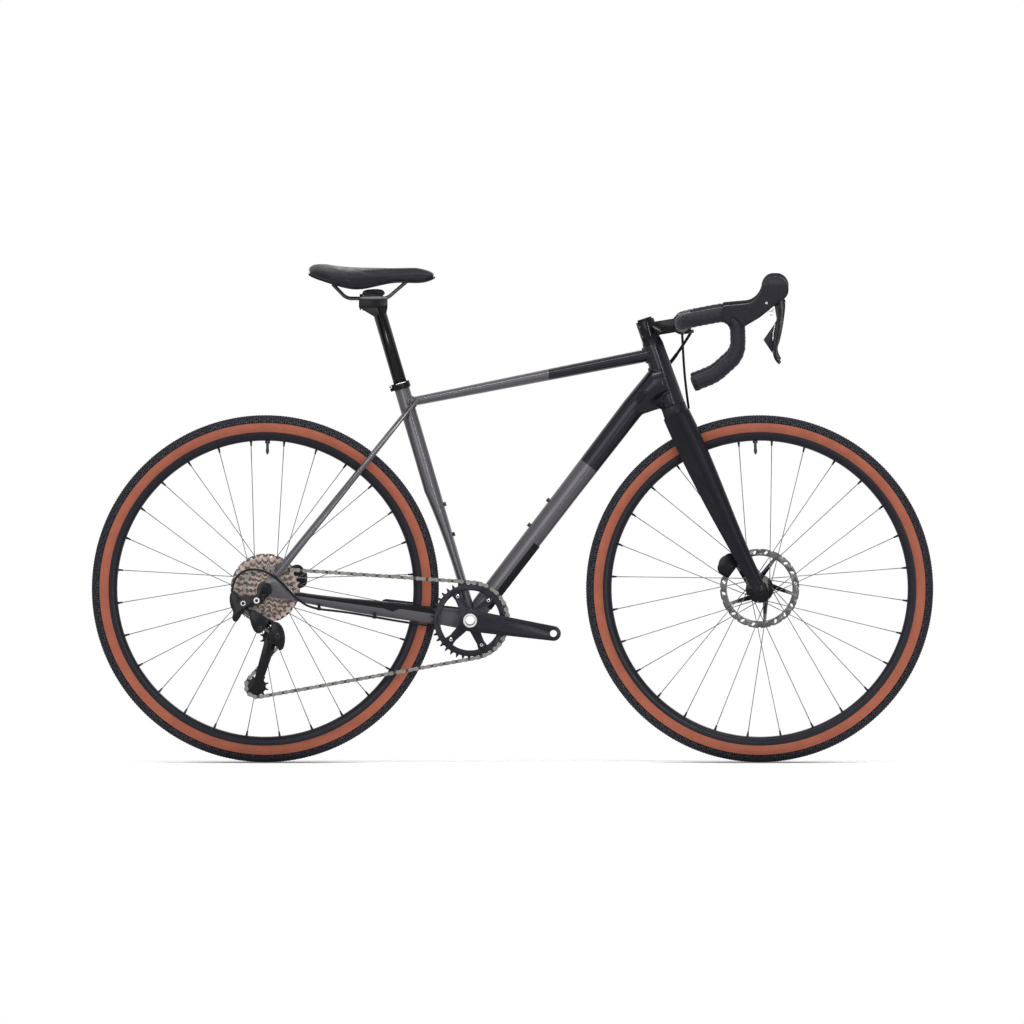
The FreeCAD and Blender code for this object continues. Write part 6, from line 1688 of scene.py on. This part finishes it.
@dataclass
class Chain:
    """Chain of outer and inner plates, rollers and rivets on the pins of the CAD chain."""

    pitch: float = 0.0127
    end_radius: float = 0.0042
    waist: float = 0.0029
    roller_width: float = 0.0023
    roller_radius: float = 0.0038
    rivet_radius: float = 0.0019
    axle: Point = (-0.498, CHAIN_LINE, 0.350)
    guide: Point = (-0.485, CHAIN_LINE, 0.253)
    cog_reach: float = 0.0446
    guide_reach: float = 0.0245
    drive_floor: float = 0.330
    guide_top: float = 0.258
    cage_back: float = -0.513
    run_top: float = 0.146
    run_rise: float = 0.20
    ring_foot: float = -0.110
    run_middle: float = -0.250

    def pins(self) -> list[Vector]:
        """Pins in order round the loop, from the rollers of the CAD chain."""
        work = bmesh.new()
        work.from_mesh(frame["nodes"]["chain"].data)
        bmesh.ops.remove_doubles(work, verts=work.verts, dist=0.000005)
        left = set(work.verts)
        spots: list[Vector] = []
        for start in work.verts:
            if start not in left:
                continue
            left.remove(start)
            island, queue = [], [start]
            while queue:
                vertex = queue.pop()
                island.append(vertex.co.copy())
                for edge in vertex.link_edges:
                    other = edge.other_vert(vertex)
                    if other in left:
                        left.remove(other)
                        queue.append(other)
            across = [spot.y for spot in island]
            if abs(max(across) - min(across) - self.roller_width) < 0.0002:
                spots.append(sum(island, Vector()) / len(island))
        work.free()
        spots.sort(key=lambda spot: (spot.x, spot.z))
        row = [spots.pop()]
        while spots:
            nearest = min(spots, key=lambda spot: abs((spot - row[-1]).length - self.pitch)
                          + (0.0 if len(row) < 2 else 0.002 * (spot - row[-2]).length ** -1 * self.pitch))
            spots.remove(nearest)
            row.append(nearest)
        return row

    def plate_points(self) -> list[tuple[float, float]]:
        """Outline of a plate with two round ends and a drawn-in waist."""
        half = self.pitch / 2
        outline = []
        for side in (1, -1):
            for k in range(9):
                turn = math.radians(-118 + 236 * k / 8)
                along, up = self.end_radius * math.cos(turn), self.end_radius * math.sin(turn)
                outline.append((side * (half + along), side * up))
            outline.append((0.0, side * self.waist))
        return outline

    def plates(self, name: str, inner_face: float, thickness: float, rivet: float) -> Mesh:
        """Pair of plates with their rivet heads.

        Args:
            name: name of the mesh.
            inner_face: distance of the inner face from the chain's middle.
            thickness: thickness of a plate.
            rivet: how far the rivets stand out.

        Returns:
            The mesh.
        """
        outline = self.plate_points()
        points: list[Vector] = []
        faces: list[tuple[int, ...]] = []

        def slab(shape: Outline, low: float, high: float) -> None:
            """Add an outline with a thickness across the chain."""
            first, count = len(points), len(shape)
            points.extend(Vector((x, low, z)) for x, z in shape)
            points.extend(Vector((x, high, z)) for x, z in shape)
            faces.extend(prism_faces(first, count))

        for side in Side:
            low, high = sorted((side.value * inner_face, side.value * (inner_face + thickness)))
            slab(outline, low, high)
            if rivet > 0:
                outer = side.value * (inner_face + thickness)
                low, high = sorted((outer, outer + side.value * rivet))
                for end in (-1, 1):
                    turns = [math.pi * k / 4 for k in range(8)]
                    slab([(end * self.pitch / 2 + self.rivet_radius * math.cos(turn),
                           self.rivet_radius * math.sin(turn)) for turn in turns], low, high)
        return mesh_from(name, points, faces, (CHAIN_STEEL,), (), 30.0)

    def build(self) -> None:
        """Set plates between the pins and a roller on each."""
        pins = self.pins()
        tree = LinkTree()
        spans = []
        for start, end in zip(pins, pins[1:] + pins[:1]):
            way = end - start
            spans.append(((start + end) / 2, math.atan2(-way.z, way.x)))
        ends = [Vector((0, side.value * self.roller_width / 2, 0)) for side in Side]
        drum = tube("roller_mesh", ends, self.roller_radius, 12, CHAIN_STEEL)
        outer = self.plates("outer_plates", inner_face=0.00207, thickness=0.0007, rivet=0.0003)
        inner = self.plates("inner_plates", inner_face=0.00121, thickness=0.0008, rivet=0.0)
        for word, spots, unit, finish in (
                ("outer_links", spans[0::2], outer, CHAIN_STEEL),
                ("inner_links", spans[1::2], inner, CHAIN_DARK),
                ("rollers", [(pin, 0.0) for pin in pins], drum, CHAIN_STEEL)):
            for run in Run:
                own = [spot for spot in spots if self.run_of(spot[0]) is run]
                if not own:
                    continue
                made = tree.spread(f"chain_{run.value}_{word}", own, unit.copy(), finish)
                if run in RUN_BENDS:
                    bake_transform(made)
                else:
                    nodes = ("chain",) if word == "outer_links" else ()
                    finish_piece(made, "frame", "steel", *nodes)

    def run_of(self, spot: Vector) -> Run:
        """Run of the chain that a place belongs to."""
        on_cog = (spot - Vector(self.axle)).length < self.cog_reach
        if on_cog or spot.x > self.ring_foot or spot.z > self.drive_floor:
            return Run.DRIVE
        if spot.z > self.guide_top and (spot - Vector(self.guide)).length > self.guide_reach:
            return Run.DROP
        if spot.x > self.cage_back and spot.z < self.run_top + self.run_rise * (spot.x - self.cage_back):
            return Run.FORE if spot.x > self.run_middle else Run.AFT
        return Run.CAGE


# Studio


LAMPS = (("overhead", (0.0, -0.9, 3.0), (0.0, 0.0, 0.5), (3.6, 0.22), 62.0),
         ("fill", (-1.6, -4.4, 1.7), (0.0, 0.0, 0.5), (2.6, 2.6), 60.0),
         ("side_strip", (1.2, -3.6, 1.1), (0.0, 0.0, 0.6), (0.16, 2.4), 40.0),
         ("back", (1.2, 3.4, 2.6), (0.0, 0.0, 0.5), (3.0, 1.5), 40.0))


@dataclass
class Studio:
    """Pale floor with a painted shadow round each tyre's foot, soft lamps, white surroundings and the camera.
    """

    camera_turn: float = 1.0
    camera_distance: float = 12.0
    view_middle: Point = (-0.001, 0.0, 0.5046)
    view_width: float = 2.0634
    world_light: float = 0.42
    floor_corners: tuple[Point, ...] = ((-6, -4, 0), (6, -4, 0), (6, 1.6, 0), (-6, 1.6, 0))
    floor_colour: tuple[float, ...] = (0.92, 0.92, 0.92, 1)
    floor_lift: float = 0.2
    floor_scale: Point = (0.72, 1.25, 0.0)
    floor_fade: tuple[float, ...] = (0.35, 1.0, 0.12, 1.0)
    # Painted shadow on the floor round each tyre's foot: its colour, its reach along X and Y, and its fade.
    painted_shadow_colour: tuple[float, ...] = (0.01, 0.01, 0.012, 1)
    painted_shadow_reach: tuple[float, float] = (0.28, 0.20)
    painted_shadow_fade: tuple[float, ...] = (1.0, 0.15, 0.0, 0.9)

    def aimed(self, name: str, data: bpy.types.ID, place: Vector, target: Vector) -> Piece:
        """Lamp or camera at a place, facing a target."""
        made = new_object(name, data)
        made.location = place
        made.rotation_euler = (target - place).to_track_quat("-Z", "Y").to_euler()
        return made

    def lamp(self, name: str, place: Point, target: Point, size: tuple[float, float], power: float) -> None:
        """Soft box that faces a point."""
        data = bpy.data.lights.new(name, "AREA")
        data.shape = "RECTANGLE"
        data.size, data.size_y = size
        data.energy = power
        self.aimed(name, data, Vector(place), Vector(target))

    def build_camera(self) -> None:
        """Camera level with the bike, on its drive side."""
        data = bpy.data.cameras.new("camera")
        data.type = "ORTHO"
        data.ortho_scale = self.view_width
        data.clip_end = 100.0
        rise, target = math.radians(self.camera_turn), Vector(self.view_middle)
        place = target + Vector((0, -math.cos(rise), math.sin(rise))) * self.camera_distance
        bpy.context.scene.camera = self.aimed("camera", data, place, target)

    def white_share(self, nodes: Nodes) -> Socket:
        """One for rays that show the surroundings: camera, glossy and transmission."""
        path = nodes.add("ShaderNodeLightPath").outputs
        total = nodes.maths("MAXIMUM", path["Is Camera Ray"], path["Is Glossy Ray"])
        return nodes.maths("MAXIMUM", total, path["Is Transmission Ray"])

    def mixed(self, nodes: Nodes, share: Socket, first: Socket, second: Socket) -> Socket:
        """Mix of two shaders."""
        return nodes.add("ShaderNodeMixShader", {"Fac": share, 1: first, 2: second}).outputs[0]

    def faded(self, nodes: Nodes, place: Socket, limits: Sequence[float]) -> Socket:
        """Share that changes smoothly with the distance of a place from the middle."""
        words = ("From Min", "From Max", "To Min", "To Max")
        inputs = {"Value": nodes.vector("LENGTH", place), **dict(zip(words, limits))}
        return nodes.add("ShaderNodeMapRange", inputs, interpolation_type="SMOOTHSTEP").outputs["Result"]

    def build_world(self) -> None:
        """Even white surroundings."""
        world = bpy.data.worlds.new("studio")
        bpy.context.scene.world = world
        world.use_nodes = True
        nodes = Nodes(world.node_tree)
        light, seen = (nodes.add("ShaderNodeBackground", {"Color": WHITE, "Strength": power}).outputs[0]
                       for power in (self.world_light, 1.0))
        mix = self.mixed(nodes, self.white_share(nodes), light, seen)
        nodes.add("ShaderNodeOutputWorld", {"Surface": mix})

    def painted_contact_shadow(self, nodes: Nodes, place: Socket) -> Socket:
        """Share of painted shadow on the floor close round each tyre's foot."""
        shares = []
        for axle in (FRONT_AXLE, REAR_AXLE):
            arm = nodes.vector("SUBTRACT", place, (axle.x, 0.0, 0.0))
            scaled = nodes.vector("DIVIDE", arm, (*self.painted_shadow_reach, 1.0))
            shares.append(self.faded(nodes, scaled, self.painted_shadow_fade))
        return nodes.maths("MAXIMUM", *shares)

    def build_floor(self) -> None:
        """White floor that keeps the shadow, darkens to a painted shadow round each tyre's foot and fades to
        white away from the bike.
        """
        mesh = bpy.data.meshes.new("floor")
        mesh.from_pydata(self.floor_corners, [], [(0, 1, 2, 3)])
        floor = new_object("floor", mesh)
        material = bpy.data.materials.new("floor_white")
        material.use_nodes = True
        nodes = Nodes(material.node_tree)
        place = nodes.add("ShaderNodeTexCoord").outputs["Object"]
        # dark is the colour of the painted shadow under the tyres.
        matt, dark = (nodes.add("ShaderNodeBsdfDiffuse", {"Color": colour}).outputs[0]
                      for colour in (self.floor_colour, self.painted_shadow_colour))
        lift, glow = (nodes.add("ShaderNodeEmission", {"Strength": power}).outputs[0]
                      for power in (self.floor_lift, 1.0))
        lit = nodes.add("ShaderNodeAddShader", {0: matt, 1: lift}).outputs[0]
        # Painted shadow: the floor turns to the dark colour close round each tyre's foot.
        floor_with_painted_shadow = self.mixed(nodes, self.painted_contact_shadow(nodes, place), lit, dark)
        fade = self.faded(nodes, nodes.vector("MULTIPLY", place, self.floor_scale), self.floor_fade)
        share = nodes.maths("MULTIPLY", fade, self.white_share(nodes))
        nodes.add("ShaderNodeOutputMaterial", {"Surface": self.mixed(nodes, share, floor_with_painted_shadow, glow)})
        mesh.materials.append(material)

    def build(self) -> None:
        """Set up the studio."""
        bpy.context.scene.view_settings.view_transform = "Standard"
        self.build_camera()
        self.build_world()
        self.build_floor()
        for name, place, target, size, power in LAMPS:
            self.lamp(name, place, target, size, power)


def main() -> None:
    """Build the sub-assemblies in order."""
    logging.basicConfig(level=logging.INFO, format="%(name)s: %(message)s")
    Studio().build()
    FRONT_HOSE.build()
    SHIFT_HOUSING.build()
    BUNDLE.build()
    front = Wheel("front", FRONT_AXLE, spoke_turn=4.7, flange_right=0.035, flange_left=0.024)
    front.build(carrier_radius=0.052)
    rear = Wheel("rear", REAR_AXLE, spoke_turn=7.3, flange_right=0.019, flange_left=0.034)
    rear.build(carrier_radius=0.045)
    Frame().build()
    Saddle().build()
    Cockpit().build()
    Drivetrain().build()
    Chain().build()


if __name__ == "__main__":
    main()
